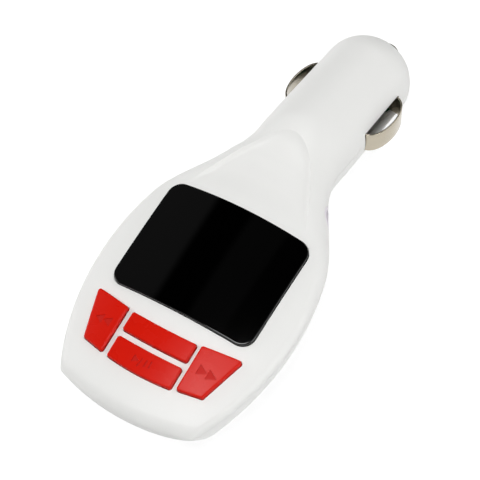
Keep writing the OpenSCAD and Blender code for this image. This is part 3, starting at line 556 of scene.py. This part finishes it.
def panel_cutter():
    """Cutter of the panel: a flat middle that follows the neck, and a hollow slope round it."""
    out = panel_line(ARCH_HALF_W, ARCH_TOP, ARCH_FOOT)
    inn = panel_line(ARCH_HALF_W - ARCH_SLOPE, ARCH_TOP - PANEL_TOP_SLOPE * ARCH_SLOPE,
                     ARCH_FOOT + SLIP)
    mid = (0, (ARCH_TOP + 2 * ARCH_FOOT) / 3)

    def at(q, up):
        return place(q[1], q[0], top_up(q[1], q[0]) + up)

    rings = []
    for i in range(1, PANEL_RINGS + 1):
        line = [(q[0] * i / PANEL_RINGS, mid[1] + (q[1] - mid[1]) * i / PANEL_RINGS) for q in inn]
        rings.append([at(q, -panel_deep(q[1])) for q in line])
    for share, deep in PANEL_SLOPE:
        line = [(p[0] + (q[0] - p[0]) * share, p[1] + (q[1] - p[1]) * share) for p, q in zip(out, inn)]
        rings.append([at(q, -deep * panel_deep(p[1])) for p, q in zip(out, line)])
    past = [(p[0] + PANEL_PAST * (p[0] - q[0]), p[1] + PANEL_PAST * (p[1] - q[1]))
            for p, q in zip(out, inn)]
    rings.append([at(q, PANEL_LIFT * panel_deep(p[1])) for p, q in zip(out, past)])
    rings.append([at(q, PANEL_SIDE_TOP) for q in past])
    return stack("panel_cutter", at(mid, -panel_deep(mid[1])), rings, at(mid, PANEL_MIDDLE_TOP))


def opening(corners, bows, r, grow):
    """Cutter right through the upper shell."""
    return pad("opening", corners, bows, r, [(grow, -RIM_DEPTH, 1), (grow, OVER, 1)])


def slot_cutters():
    """Side slots of the barrel, with rounded corners."""
    pieces = []
    for side in (-1, 1):
        x0, x1 = side * (BORE_R - 1), side * (PLUG_R + 2)
        outline = rounded([(SLOT_START, -SLOT_H / 2), (SLOT_START + SLOT_L, -SLOT_H / 2),
                           (SLOT_START + SLOT_L, SLOT_H / 2), (SLOT_START, SLOT_H / 2)],
                          STRAIGHT, SLOT_CORNER, 0, 4, 5)
        rings = [[plug(x, y, z) for y, z in outline] for x in (x0, x1)]
        mid = SLOT_START + SLOT_L / 2
        pieces.append(stack("slot", plug(x0, mid, 0), rings, plug(x1, mid, 0)))
    return pieces


# The inner parts that the openings lead to, as they are in the CAD
LCD_W, LCD_L, LCD_T, BACKLIGHT_T, BOARD_T = 31.6, 25.4, 1.6, 1.8, 1.2
USB_W, USB_H, USB_L = 13.1, 6.8, 14.0
CARD_W, CARD_H = 27.0, 2.8
JACK_BORE, JACK_RIM, JACK_TURN = 3.6, 0.8, math.radians(25)
SCREW_HEAD_D = 3.6

LCD_Z = face_z(LCD_W / 2, LCD_L / 2) - WALL - SLIP
USB_TOP = LCD_Z - LCD_T - BACKLIGHT_T - 4 * SLIP
USB_LOW = USB_TOP - USB_H
USB_MOUTH = -19.52
USB_Y = USB_W / 2 - LCD_L / 2 + 1.5 * SLIP
BOARD_LOW = BOARD_TOP - BOARD_T
CARD_MOUTH, CARD_Y, CARD_TOP = 15.47, -6.0, BOARD_LOW
CARD_LOW = CARD_TOP - CARD_H
JACK_AT = (13.04, 21.6, -7.39)
JACK_COLLAR_R = JACK_BORE / 2 + JACK_RIM
JACK_SIDES = 64
SCREW_SEAT = BOARD_LOW - 0.8 * WALL
SCREWS = [(-11.73, -30.25), (11.73, -30.25), (0, 23.1)]

# Back of the socket's ring along its bore, and how far its face lies below the flank
RING_BACK, RING_SUNK = 1.02, 0.04


def jack_point(along):
    """Point on the audio socket's axis."""
    x, y, z = JACK_AT
    return x + along * math.cos(JACK_TURN), y + along * math.sin(JACK_TURN), z


def flank_x(y, up):
    """Half width of the outside at a height over the joint."""
    if up > 0:
        w, r, h, e, fillet = top_arcs(y, 0)
        return w - fillet + math.sqrt(max(0.0, fillet**2 - up**2))
    p = 2 + (BELLY_SQUARE - 2) * belly_share(y)
    across = (1 - min(1.0, -up / belly(y)) ** p) ** (1 / p)
    return (rim_half(y) + LEAN * belly_share(y) * up) * across


def jack_ring():
    """Collar of the audio socket, whose outer face lies flush in the flank."""
    rings = [[], [], [], []]
    for i in range(JACK_SIDES):
        g = 2 * math.pi * i / JACK_SIDES
        for k, radius in enumerate((JACK_BORE / 2 + SLIP / 2, JACK_COLLAR_R)):
            flat, up = radius * math.cos(g), radius * math.sin(g)
            reach = WALL
            for _ in range(6):
                x, y, z = jack_point(reach)
                x, y, z = x - flat * math.sin(JACK_TURN), y + flat * math.cos(JACK_TURN), z + up
                reach += (flank_x(y, z + rim(y)) - x) * math.cos(JACK_TURN)
            for ring, along in ((rings[k], RING_BACK), (rings[3 - k], reach - RING_SUNK)):
                x, y, z = jack_point(along)
                ring.append((x - flat * math.sin(JACK_TURN), y + flat * math.cos(JACK_TURN), z + up))
    points = [q for ring in rings for q in ring]
    faces = []
    for k in range(len(rings)):
        a, b = k * JACK_SIDES, (k + 1) % len(rings) * JACK_SIDES
        faces += [(a + i, a + (i + 1) % JACK_SIDES, b + (i + 1) % JACK_SIDES, b + i)
                  for i in range(JACK_SIDES)]
    piece = make("jack_ring", points, faces)
    soften(piece, SHARP)
    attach(piece, "housing")
    return piece


def side_cutters():
    """Openings to the socket for a memory stick and to the memory card socket."""
    usb = block("usb_opening", (-REACH, USB_Y - USB_W / 2 - SLIP, USB_LOW - SLIP),
                (USB_MOUTH + USB_L / 2, USB_Y + USB_W / 2 + SLIP, USB_TOP + SLIP))
    card = block("card_opening", (CARD_MOUTH - WALL, CARD_Y - CARD_W / 2 + WALL, CARD_LOW + SLIP),
                 (REACH, CARD_Y + CARD_W / 2 - WALL, CARD_TOP - SLIP))
    return [usb, card]


def jack_cutter():
    return rod("jack_opening", jack_point(-WALL), jack_point(2 * WALL), JACK_COLLAR_R + 1.5 * SLIP)


# Shells
upper_housing = shell_form("upper_housing", top_half)
seat = [(FACE_PLAY, -WINDOW_SEAT, share) for share in SEAT_SHARES] + [(FACE_PLAY, OVER, 1)]
cut(upper_housing, slot_cutters() + [
    pad("window_seat", WINDOW, WINDOW_BOWS, WINDOW_CORNER, seat),
    opening(WINDOW, WINDOW_BOWS, WINDOW_CORNER, -WINDOW_LEDGE), panel_cutter(), jack_cutter(),
    *[opening(corners, bows, BUTTON_CORNER, FACE_PLAY) for corners, bows in BUTTONS.values()]])
soften(upper_housing, SHELL_SHARP)
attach(upper_housing, "housing")
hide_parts("top_shell")

lower_housing = shell_form("lower_housing", low_half)
cut(lower_housing, slot_cutters() + side_cutters() + [jack_cutter()] + [
    rod("screw_hole", (x, y, SCREW_SEAT - REACH), (x, y, SCREW_SEAT), SCREW_HEAD_D / 2 + SLIP)
    for x, y in SCREWS])
soften(lower_housing, SHELL_SHARP)
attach(lower_housing, "housing")
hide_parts("bottom_shell")

socket_ring = jack_ring()

# Window and buttons
window = pad("smoked_window", WINDOW, WINDOW_BOWS, WINDOW_CORNER,
             [(0, SLIP / 2 - WINDOW_SEAT, share) for share in SEAT_SHARES]
             + round_levels(WINDOW_RISE, WINDOW_ROUND)
             + [(-WINDOW_ROUND, WINDOW_RISE, share) for share in WINDOW_SHARES], k=20)
soften(window, SHARP)
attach(window, "housing")
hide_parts("display_window")


def sign_form(name, outline, levels):
    """Shape over an outline on a button's crowned top; each level is (height, share)."""
    mid = [sum(q[i] for q in outline) / len(outline) for i in (0, 1)]
    rings = []
    for height, share in levels:
        ring = [(mid[0] + (q[0] - mid[0]) * share, mid[1] + (q[1] - mid[1]) * share) for q in outline]
        rings.append([(x, y, face_z(x, y) + BUTTON_RISE + height) for x, y in ring])
    z = face_z(*mid) + BUTTON_RISE
    return stack(name, (*mid, z + levels[0][0]), rings, (*mid, z + levels[-1][0]))


# Corners of the signs' outlines
ARROW_CORNER, BAR_CORNER = 0.12, 0.08


def triangle(x, y, length, height, way):
    """Outline of an arrowhead whose base is at x and whose point is length further, on the side way."""
    points = [(x, y - height / 2), (x + way * length, y), (x, y + height / 2)]
    points = points if way > 0 else points[::-1]
    return rounded(points, (0, 0, 0), ARROW_CORNER, 0, 3, 3)


def bar(x, y, width, height, lean=0.0):
    """Outline of an upright bar, whose upper end leans to the right."""
    points = [(x - width / 2 - lean, y - height / 2), (x + width / 2 - lean, y - height / 2),
              (x + width / 2 + lean, y + height / 2), (x - width / 2 + lean, y + height / 2)]
    return rounded(points, STRAIGHT, BAR_CORNER, 0, 3, 3)


# Playing signs: two arrowheads on each wing, and an arrowhead, a stroke and two bars on play
GLYPHS = {
    "next": [triangle(11.05, -21.4, 2.2, 2.4, 1), triangle(13.2, -21.4, 2.2, 2.4, 1)],
    "previous": [triangle(-10.6, -21.3, 1.95, 2.1, -1), triangle(-12.6, -21.3, 1.95, 2.1, -1)],
    "play": [triangle(-2.0, -25.8, 1.6, 1.7, 1), bar(-0.15, -26.0, 0.32, 2.0, 0.2),
             bar(1.08, -25.7, 0.36, 1.6), bar(2.1, -25.5, 0.36, 1.6)],
    "channel": [],
}
# Each level is (height over the button's top, share): the hollow of a sign, and a darker red fill in
# its floor that paints the shade of the hollow
HOLLOW = [(-0.16, 0.5), (-0.16, 1), (1, 1.06)]
SIGN_SHADE_FILL = [(-0.3, 0.5), (-0.3, 0.97), (-0.1, 0.97), (-0.1, 0.5)]
# Where the buttons' stems stand on their plungers, in the CAD's places
SPOTS = {"previous": (-12.7375, -20.76), "channel": (0, -19.32), "play": (0, -25.5),
         "next": (12.7375, -20.76)}
STEM_SIDES = 40


def button(name):
    """Cap with its flange and its stem, and the signs sunk in its top."""
    corners, bows = BUTTONS[name]
    under = -WALL - 1.5 * SLIP
    levels = [(FLANGE_W, under - FLANGE_T, 0.5), (FLANGE_W, under - FLANGE_T, 1), (FLANGE_W, under, 1),
              (0, under, 1)] + round_levels(BUTTON_RISE, BUTTON_ROUND)
    levels += [(-BUTTON_ROUND, BUTTON_RISE, share) for share in BUTTON_SHARES]
    piece = pad("cap_" + name, corners, bows, BUTTON_CORNER, levels)
    if GLYPHS[name]:
        cut(piece, [sign_form("sunk", outline, HOLLOW) for outline in GLYPHS[name]])
    soften(piece, SHARP)
    # Darker red fills in the signs' hollows: painted shade
    signs = [sign_form("sign_" + name, outline, SIGN_SHADE_FILL) for outline in GLYPHS[name]]
    for sign in signs:
        sign.parent = piece
    x, y = SPOTS[name]
    stem = rod("stem_" + name, (x, y, BOARD_TOP + PLUNGER_UP), (x, y, under - FLANGE_T / 2),
               STEM_D / 2, STEM_SIDES)
    soften(stem, SHARP)
    stem.parent = piece
    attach(piece, "button_" + name)
    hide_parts("button_" + name)
    return [piece, stem, signs]


caps = {name: button(name) for name in BUTTONS}

# Side springs: where their legs lie along the bore, and the middle and half length of their bows
LEG_X = BORE_R - 0.5 - LEAF_T / 2
LEG_BACK, LEG_FRONT = 2.4, 1.3
LEAF_MIDDLE = SLOT_START + SLOT_L / 2
LEAF_HALF = (SLOT_L - LEAF_T) / 2 - 2 * SLIP
BOW_ANGLES = (2, 4, *range(7, 174, 3), 176, 178)
BOW_UP, BOW_ALONG = 0.6, 1.05


def leaf_spot(angle, side):
    """Point on the spring's bow, a superellipse, from one end of the slot to the other."""
    peak = PLUG_R + LEAF_OUT[side] - LEAF_T / 2
    s = abs(math.sin(angle)) ** BOW_UP
    c = math.copysign(abs(math.cos(angle)) ** BOW_ALONG, math.cos(angle))
    return LEG_X + (peak - LEG_X) * s, LEAF_MIDDLE - LEAF_HALF * c


def spring(name, side):
    """Bowed strip with rounded edges, swept along its path in the plug's joint plane."""
    path = [(LEG_X, SLOT_START - LEG_BACK), (LEG_X, LEAF_MIDDLE - LEAF_HALF - LEAF_T / 2)]
    path += [leaf_spot(math.radians(a), side) for a in BOW_ANGLES]
    path += [(LEG_X, LEAF_MIDDLE + LEAF_HALF + LEAF_T / 2), (LEG_X, SLOT_START + SLOT_L + LEG_FRONT)]
    section = rounded([(-LEAF_T / 2, -LEAF_W / 2), (LEAF_T / 2, -LEAF_W / 2), (LEAF_T / 2, LEAF_W / 2),
                       (-LEAF_T / 2, LEAF_W / 2)], STRAIGHT, LEAF_EDGE, 0, 3, 3)
    rings = []
    for i, (x, y) in enumerate(path):
        (x0, y0), (x1, y1) = path[max(0, i - 1)], path[min(len(path) - 1, i + 1)]
        size = math.hypot(x1 - x0, y1 - y0)
        across = ((y1 - y0) / size, -(x1 - x0) / size)
        rings.append([plug(side * (x + q * across[0]), y + q * across[1], z) for q, z in section])
    piece = stack(name, plug(side * path[0][0], path[0][1], 0), rings,
                  plug(side * path[-1][0], path[-1][1], 0))
    soften(piece, SHARP)
    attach(piece, "ground_" + name)
    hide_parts("ground_" + name)
    return piece


springs = [spring("spring_left", -1), spring("spring_right", 1)]

# Shoulder of the contact: (place along the plug's axis, radius), from its back to its front
SLEEVE = ((44.0, 2.0), (44.1, 2.2), (46.7, 2.2), (46.78, 2.17), (46.82, 2.08), (46.84, 1.4))
SLEEVE_FRONT, SLEEVE_SIDES = 46.85, 48


def tip_sleeve():
    """Shoulder of the centre contact, of which a sliver shows past the domed nose."""
    angles = [2 * math.pi * i / SLEEVE_SIDES for i in range(SLEEVE_SIDES)]
    rings = [[plug(r * math.cos(g), y, r * math.sin(g)) for g in angles] for y, r in SLEEVE]
    piece = stack("tip_sleeve", plug(0, SLEEVE[0][0], 0), rings, plug(0, SLEEVE_FRONT, 0))
    soften(piece, SHARP)
    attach(piece, "centre_contact")
    return piece


sleeve = tip_sleeve()

# Material slot of each node
SLOTS = {item["node"]: item["material_slot"] for item in frame["record"]["subparts"]}


def push_coil():
    """Copy of the coil behind the centre contact, at the length it has in the CAD."""
    piece = bpy.data.objects.new("push_coil", frame["nodes"]["contact_coil"].data.copy())
    bpy.context.scene.collection.objects.link(piece)
    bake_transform(piece)
    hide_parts("contact_coil")
    return piece


coil = push_coil()

# How much the gloss varies about its own value, and the noise's range that this uses
GLOSS_SPREAD, NOISE_LOW, NOISE_HIGH = 0.12, 0.3, 0.7


def material(name, color, rough, metal=0.0, grain=(60, 90), bump=(), spread=0.04, **sockets):
    """Shader whose colour, gloss and relief vary with noise in the object's own space.

    grain holds the scales of the colour's and of the gloss's variation, spread is the share by
    which the colour varies, and bump is a list of (scale, height in mm)."""
    mat = bpy.data.materials.new(name)
    mat.use_nodes = True
    tree = mat.node_tree
    nodes, links = tree.nodes, tree.links
    shader = nodes["Principled BSDF"]
    shader.inputs["Metallic"].default_value = metal
    for key, value in sockets.items():
        shader.inputs[key.replace("_", " ")].default_value = value
    coords = nodes.new("ShaderNodeTexCoord")

    def noise(scale, detail=3.0):
        tex = nodes.new("ShaderNodeTexNoise")
        tex.inputs["Scale"].default_value = scale
        tex.inputs["Detail"].default_value = detail
        links.new(coords.outputs["Object"], tex.inputs["Vector"])
        return tex.outputs["Fac"]

    def ramp(source, low, high):
        out = nodes.new("ShaderNodeMapRange")
        out.inputs["From Min"].default_value = NOISE_LOW
        out.inputs["From Max"].default_value = NOISE_HIGH
        out.inputs["To Min"].default_value = low
        out.inputs["To Max"].default_value = high
        links.new(source, out.inputs["Value"])
        return out.outputs["Result"]

    mix = nodes.new("ShaderNodeMix")
    mix.data_type = "RGBA"
    mix.inputs["A"].default_value = (*[c * (1 - spread) for c in color], 1)
    mix.inputs["B"].default_value = (*[min(1.0, c * (1 + spread)) for c in color], 1)
    links.new(noise(grain[0]), mix.inputs["Factor"])
    links.new(mix.outputs["Result"], shader.inputs["Base Color"])
    gloss = ramp(noise(grain[1]), rough * (1 - GLOSS_SPREAD), min(1.0, rough * (1 + GLOSS_SPREAD)))
    links.new(gloss, shader.inputs["Roughness"])
    normal = None
    for scale, height in bump:
        step = nodes.new("ShaderNodeBump")
        step.inputs["Distance"].default_value = height / 1000
        step.inputs["Strength"].default_value = 1.0
        links.new(noise(scale, 2.0), step.inputs["Height"])
        if normal:
            links.new(normal, step.inputs["Normal"])
        normal = step.outputs["Normal"]
    if normal:
        links.new(normal, shader.inputs["Normal"])
    return mat


# Looks by slot, and three that are no slot of the CAD: sign (a darker red, painted shade in the sunk
# signs), collar and contact
MATERIALS = {
    "shell": material("satin_shell", (0.86, 0.86, 0.842), 0.42, grain=(35, 160), spread=0.012,
                      bump=[(2600, 0.006), (240, 0.012)], Specular_IOR_Level=0.3),
    "window": material("smoked_gloss", (0.0001, 0.0001, 0.0001), 0.06, grain=(50, 50), spread=0.1,
                       bump=[(18, 0.004)], Specular_IOR_Level=0.42),
    "button": material("red_rubbery", (0.66, 0.009, 0.002), 0.28, grain=(40, 200), spread=0.04,
                       bump=[(3200, 0.006), (300, 0.01)], Specular_IOR_Level=0.13),
    # Darker red of the fills in the sunk signs: painted shade of their hollows
    "sign": material("painted_sign_shade", (0.56, 0.008, 0.003), 0.5, bump=[(3200, 0.008)],
                     Specular_IOR_Level=0.15),
    # Pale collar colour, also put on the audio socket's body, where it paints light into the socket's
    # shaded hole
    "collar": material("socket_collar", (0.86, 0.82, 0.87), 0.5, bump=[(1500, 0.008)]),
    "contact": material("contact_plate", (0.3, 0.28, 0.22), 0.35, metal=1.0, grain=(200, 400),
                        spread=0.08, bump=[(900, 0.006)], Specular_Tint=(0.35, 0.34, 0.3, 1)),
    "nickel": material("nickel_plate", (0.48, 0.435, 0.35), 0.2, metal=1.0, grain=(120, 300),
                       spread=0.06, bump=[(500, 0.006)]),
    "display": material("display_glass", (0.03, 0.05, 0.05), 0.08, spread=0.1, Coat_Weight=0.5),
    "diffuser": material("light_guide", (0.85, 0.85, 0.78), 0.5, bump=[(900, 0.01)]),
    "white_plastic": material("white_moulding", (0.82, 0.82, 0.8), 0.45, bump=[(1500, 0.01)]),
    "ribbon": material("amber_film", (0.62, 0.3, 0.07), 0.3, bump=[(200, 0.01)]),
    "board": material("solder_mask", (0.02, 0.16, 0.07), 0.35, grain=(300, 500), spread=0.15,
                      bump=[(1200, 0.01)]),
    "plunger": material("dark_plunger", (0.1, 0.1, 0.1), 0.45, bump=[(900, 0.01)]),
    "black_plastic": material("black_moulding", (0.025, 0.025, 0.027), 0.45, bump=[(1500, 0.01)]),
    "tin": material("tinned_sheet", (0.62, 0.62, 0.6), 0.3, metal=1.0, grain=(300, 700), spread=0.08,
                    bump=[(800, 0.006)]),
    "gilt": material("gilt_contact", (0.85, 0.62, 0.25), 0.22, metal=1.0, bump=[(900, 0.005)]),
    "ferrite": material("ferrite_core", (0.12, 0.09, 0.08), 0.6, bump=[(700, 0.02)]),
    "sleeve": material("shrink_sleeve", (0.03, 0.04, 0.1), 0.3, bump=[(300, 0.01)]),
    "red_wire": material("red_insulation", (0.55, 0.03, 0.02), 0.4, bump=[(700, 0.01)]),
    "black_wire": material("black_insulation", (0.02, 0.02, 0.02), 0.4, bump=[(700, 0.01)]),
    "screw": material("zinc_plate", (0.5, 0.5, 0.52), 0.32, metal=1.0, grain=(200, 600), spread=0.1,
                      bump=[(900, 0.008)]),
}


def dress(piece, slot):
    """Gives a piece the one material of its slot."""
    piece.data.materials.clear()
    piece.data.materials.append(MATERIALS[slot])


for piece in (upper_housing, lower_housing):
    dress(piece, "shell")
dress(window, "window")
dress(socket_ring, "collar")
dress(sleeve, "contact")
dress(coil, SLOTS["contact_coil"])
for cap, stem, signs in caps.values():
    dress(cap, "button")
    dress(stem, "button")
    for sign in signs:
        dress(sign, "sign")
for piece in springs:
    dress(piece, "nickel")
# Nodes whose look differs from that of their slot
# The audio socket's body takes the pale collar colour: painted light in the socket's shaded hole
LOOKS = {"centre_contact": "contact", "audio_jack": "collar"}
for name, slot in SLOTS.items():
    dress(frame["nodes"][name], LOOKS.get(name, slot))

# Floor, light and camera
FLOOR_HALF, FLOOR_GLOW, FLOOR_WHITE, FLOOR_SHADOWED = 3.0, 0.85, 0.85, 0.3


def stage_material(name):
    """Pale floor: white to the camera and to reflections, with the object's shadow kept."""
    mat = bpy.data.materials.new(name)
    mat.use_nodes = True
    nodes, links = mat.node_tree.nodes, mat.node_tree.links
    nodes.clear()
    out = nodes.new("ShaderNodeOutputMaterial")
    path = nodes.new("ShaderNodeLightPath")
    seen = nodes.new("ShaderNodeMath")
    seen.operation = "MAXIMUM"
    either = nodes.new("ShaderNodeMath")
    either.operation = "MAXIMUM"
    links.new(path.outputs["Is Camera Ray"], seen.inputs[0])
    links.new(path.outputs["Is Glossy Ray"], either.inputs[0])
    links.new(path.outputs["Is Transmission Ray"], either.inputs[1])
    links.new(either.outputs[0], seen.inputs[1])
    light = nodes.new("ShaderNodeEmission")
    light.inputs["Strength"].default_value = FLOOR_GLOW
    plain = nodes.new("ShaderNodeBsdfDiffuse")
    plain.inputs["Color"].default_value = (FLOOR_WHITE, FLOOR_WHITE, FLOOR_WHITE, 1)
    shadowed = nodes.new("ShaderNodeBsdfDiffuse")
    shadowed.inputs["Color"].default_value = (FLOOR_SHADOWED, FLOOR_SHADOWED, FLOOR_SHADOWED, 1)
    both = nodes.new("ShaderNodeAddShader")
    links.new(light.outputs[0], both.inputs[0])
    links.new(shadowed.outputs[0], both.inputs[1])
    pick = nodes.new("ShaderNodeMixShader")
    links.new(seen.outputs[0], pick.inputs["Fac"])
    links.new(plain.outputs[0], pick.inputs[1])
    links.new(both.outputs[0], pick.inputs[2])
    links.new(pick.outputs[0], out.inputs["Surface"])
    return mat


floor_mesh = bpy.data.meshes.new("floor")
corners = [(FLOOR_HALF * x, FLOOR_HALF * y, 0) for x, y in ((-1, -1), (1, -1), (1, 1), (-1, 1))]
floor_mesh.from_pydata(corners, [], [(0, 1, 2, 3)])
floor = bpy.data.objects.new("floor", floor_mesh)
bpy.context.scene.collection.objects.link(floor)
floor_mesh.materials.append(stage_material("pale_floor"))

# Light tent: even and pale, with dark gaps overhead where the window looks. Each gap's point is
# (how far a direction leans along the head's X, glow there). They fade out along the head's Y.
TENT = 0.13
NEAR_FADE, FAR_FADE = (-0.12, 0.0), (0.46, 0.58)
GAPS = [(-1.0, TENT), (-0.535, TENT), (-0.495, 0.002), (-0.31, 0.002), (-0.27, 0.05), (-0.06, 0.045),
        (-0.03, 0.01), (0.14, 0.01), (0.3, TENT), (1.0, TENT)]
world = bpy.data.worlds.new("studio")
bpy.context.scene.world = world
world.use_nodes = True
nodes, links = world.node_tree.nodes, world.node_tree.links
sky = nodes["Background"]
sky.inputs["Color"].default_value = (1, 1, 1, 1)
way = nodes.new("ShaderNodeTexCoord")


def along_axis(axis):
    """How far a direction leans along an axis of the head."""
    dot = nodes.new("ShaderNodeVectorMath")
    dot.operation = "DOT_PRODUCT"
    dot.inputs[1].default_value = row_direction(Vector(axis)).normalized()
    links.new(way.outputs["Generated"], dot.inputs[0])
    return dot.outputs["Value"]


def step(source, a, b, low, high):
    """Smooth step from low to high as the source goes from a to b."""
    out = nodes.new("ShaderNodeMapRange")
    out.interpolation_type = "SMOOTHSTEP"
    for key, value in (("From Min", a), ("From Max", b), ("To Min", low), ("To Max", high)):
        out.inputs[key].default_value = value
    links.new(source, out.inputs["Value"])
    return out.outputs["Result"]


ramp = nodes.new("ShaderNodeValToRGB")
stops = ramp.color_ramp.elements
while len(stops) < len(GAPS):
    stops.new(0.5)
for stop, (lean, glow) in zip(stops, GAPS):
    stop.position = (lean + 1) / 2
    stop.color = (glow, glow, glow, 1)
shift = nodes.new("ShaderNodeMath")
shift.operation = "MULTIPLY_ADD"
shift.inputs[1].default_value = 0.5
shift.inputs[2].default_value = 0.5
links.new(along_axis((1, 0, 0)), shift.inputs[0])
links.new(shift.outputs[0], ramp.inputs["Fac"])
lean_y = along_axis((0, 1, 0))
inside = nodes.new("ShaderNodeMath")
inside.operation = "MULTIPLY"
links.new(step(lean_y, *NEAR_FADE, 0.0, 1.0), inside.inputs[0])
links.new(step(lean_y, *FAR_FADE, 1.0, 0.0), inside.inputs[1])
glow = nodes.new("ShaderNodeMix")
glow.inputs["A"].default_value = TENT
links.new(inside.outputs[0], glow.inputs["Factor"])
links.new(ramp.outputs["Color"], glow.inputs["B"])
links.new(glow.outputs["Result"], sky.inputs["Strength"])
white = nodes.new("ShaderNodeBackground")
white.inputs["Strength"].default_value = 1.0
path = nodes.new("ShaderNodeLightPath")
pick = nodes.new("ShaderNodeMixShader")
links.new(path.outputs["Is Camera Ray"], pick.inputs["Fac"])
links.new(sky.outputs[0], pick.inputs[1])
links.new(white.outputs[0], pick.inputs[2])
links.new(pick.outputs[0], nodes["World Output"].inputs["Surface"])


# Distance and size of the soft boxes, and the height that they look at, in metres
BOX_AWAY, BOX_SIZE, BOX_AIM = 0.8, 0.3, 0.02


def lamp(name, direction, watts):
    """Square soft box that lights the object from a direction of the head's frame."""
    light = bpy.data.lights.new(name, "AREA")
    light.shape = "SQUARE"
    light.size = BOX_SIZE
    light.energy = watts
    piece = bpy.data.objects.new(name, light)
    bpy.context.scene.collection.objects.link(piece)
    way = row_direction(Vector(direction).normalized()).normalized()
    piece.location = Vector((0, 0, BOX_AIM)) + way * BOX_AWAY
    piece.rotation_euler = way.to_track_quat("Z", "Y").to_euler()
    return piece


# Direction in the head's frame, and power in watts
BOXES = {
    "overhead": ((0.06, -0.1, 0.99), 3.3),
    "near_box": ((-0.2, -0.5, 0.84), 0.45),
    "left_box": ((-0.9, -0.15, 0.4), 2.05),
    "right_box": ((0.95, 0.0, 0.32), 2.25),
    "far_box": ((0.1, 0.85, 0.55), 0.75),
}
for name, (direction, watts) in BOXES.items():
    lamp(name, direction, watts)

# The camera, solved from the outlines in the photograph: turn and place in the head's frame
LENS, SENSOR, CLIP = 150.0, 36.0, (0.01, 20)
TURN_VECTOR = Vector((2.61589188, 0.700596072, -0.391675519))
turn_matrix = Matrix.Rotation(TURN_VECTOR.length, 3, TURN_VECTOR.normalized())
MOVE = Vector((-6.52535025, 3.93958717, 411.302458))
eye = -(turn_matrix.transposed() @ MOVE)
across, down, away = [row_direction(turn_matrix[i]).normalized() for i in range(3)]
lens = bpy.data.cameras.new("camera")
lens.lens, lens.sensor_width, lens.sensor_fit = LENS, SENSOR, "HORIZONTAL"
lens.clip_start, lens.clip_end = CLIP
camera = bpy.data.objects.new("camera", lens)
bpy.context.scene.collection.objects.link(camera)
camera.matrix_world = Matrix((
    (across.x, -down.x, -away.x, row(eye).x),
    (across.y, -down.y, -away.y, row(eye).y),
    (across.z, -down.z, -away.z, row(eye).z),
    (0, 0, 0, 1)))
bpy.context.scene.camera = camera
bpy.context.scene.view_settings.view_transform = "Standard"
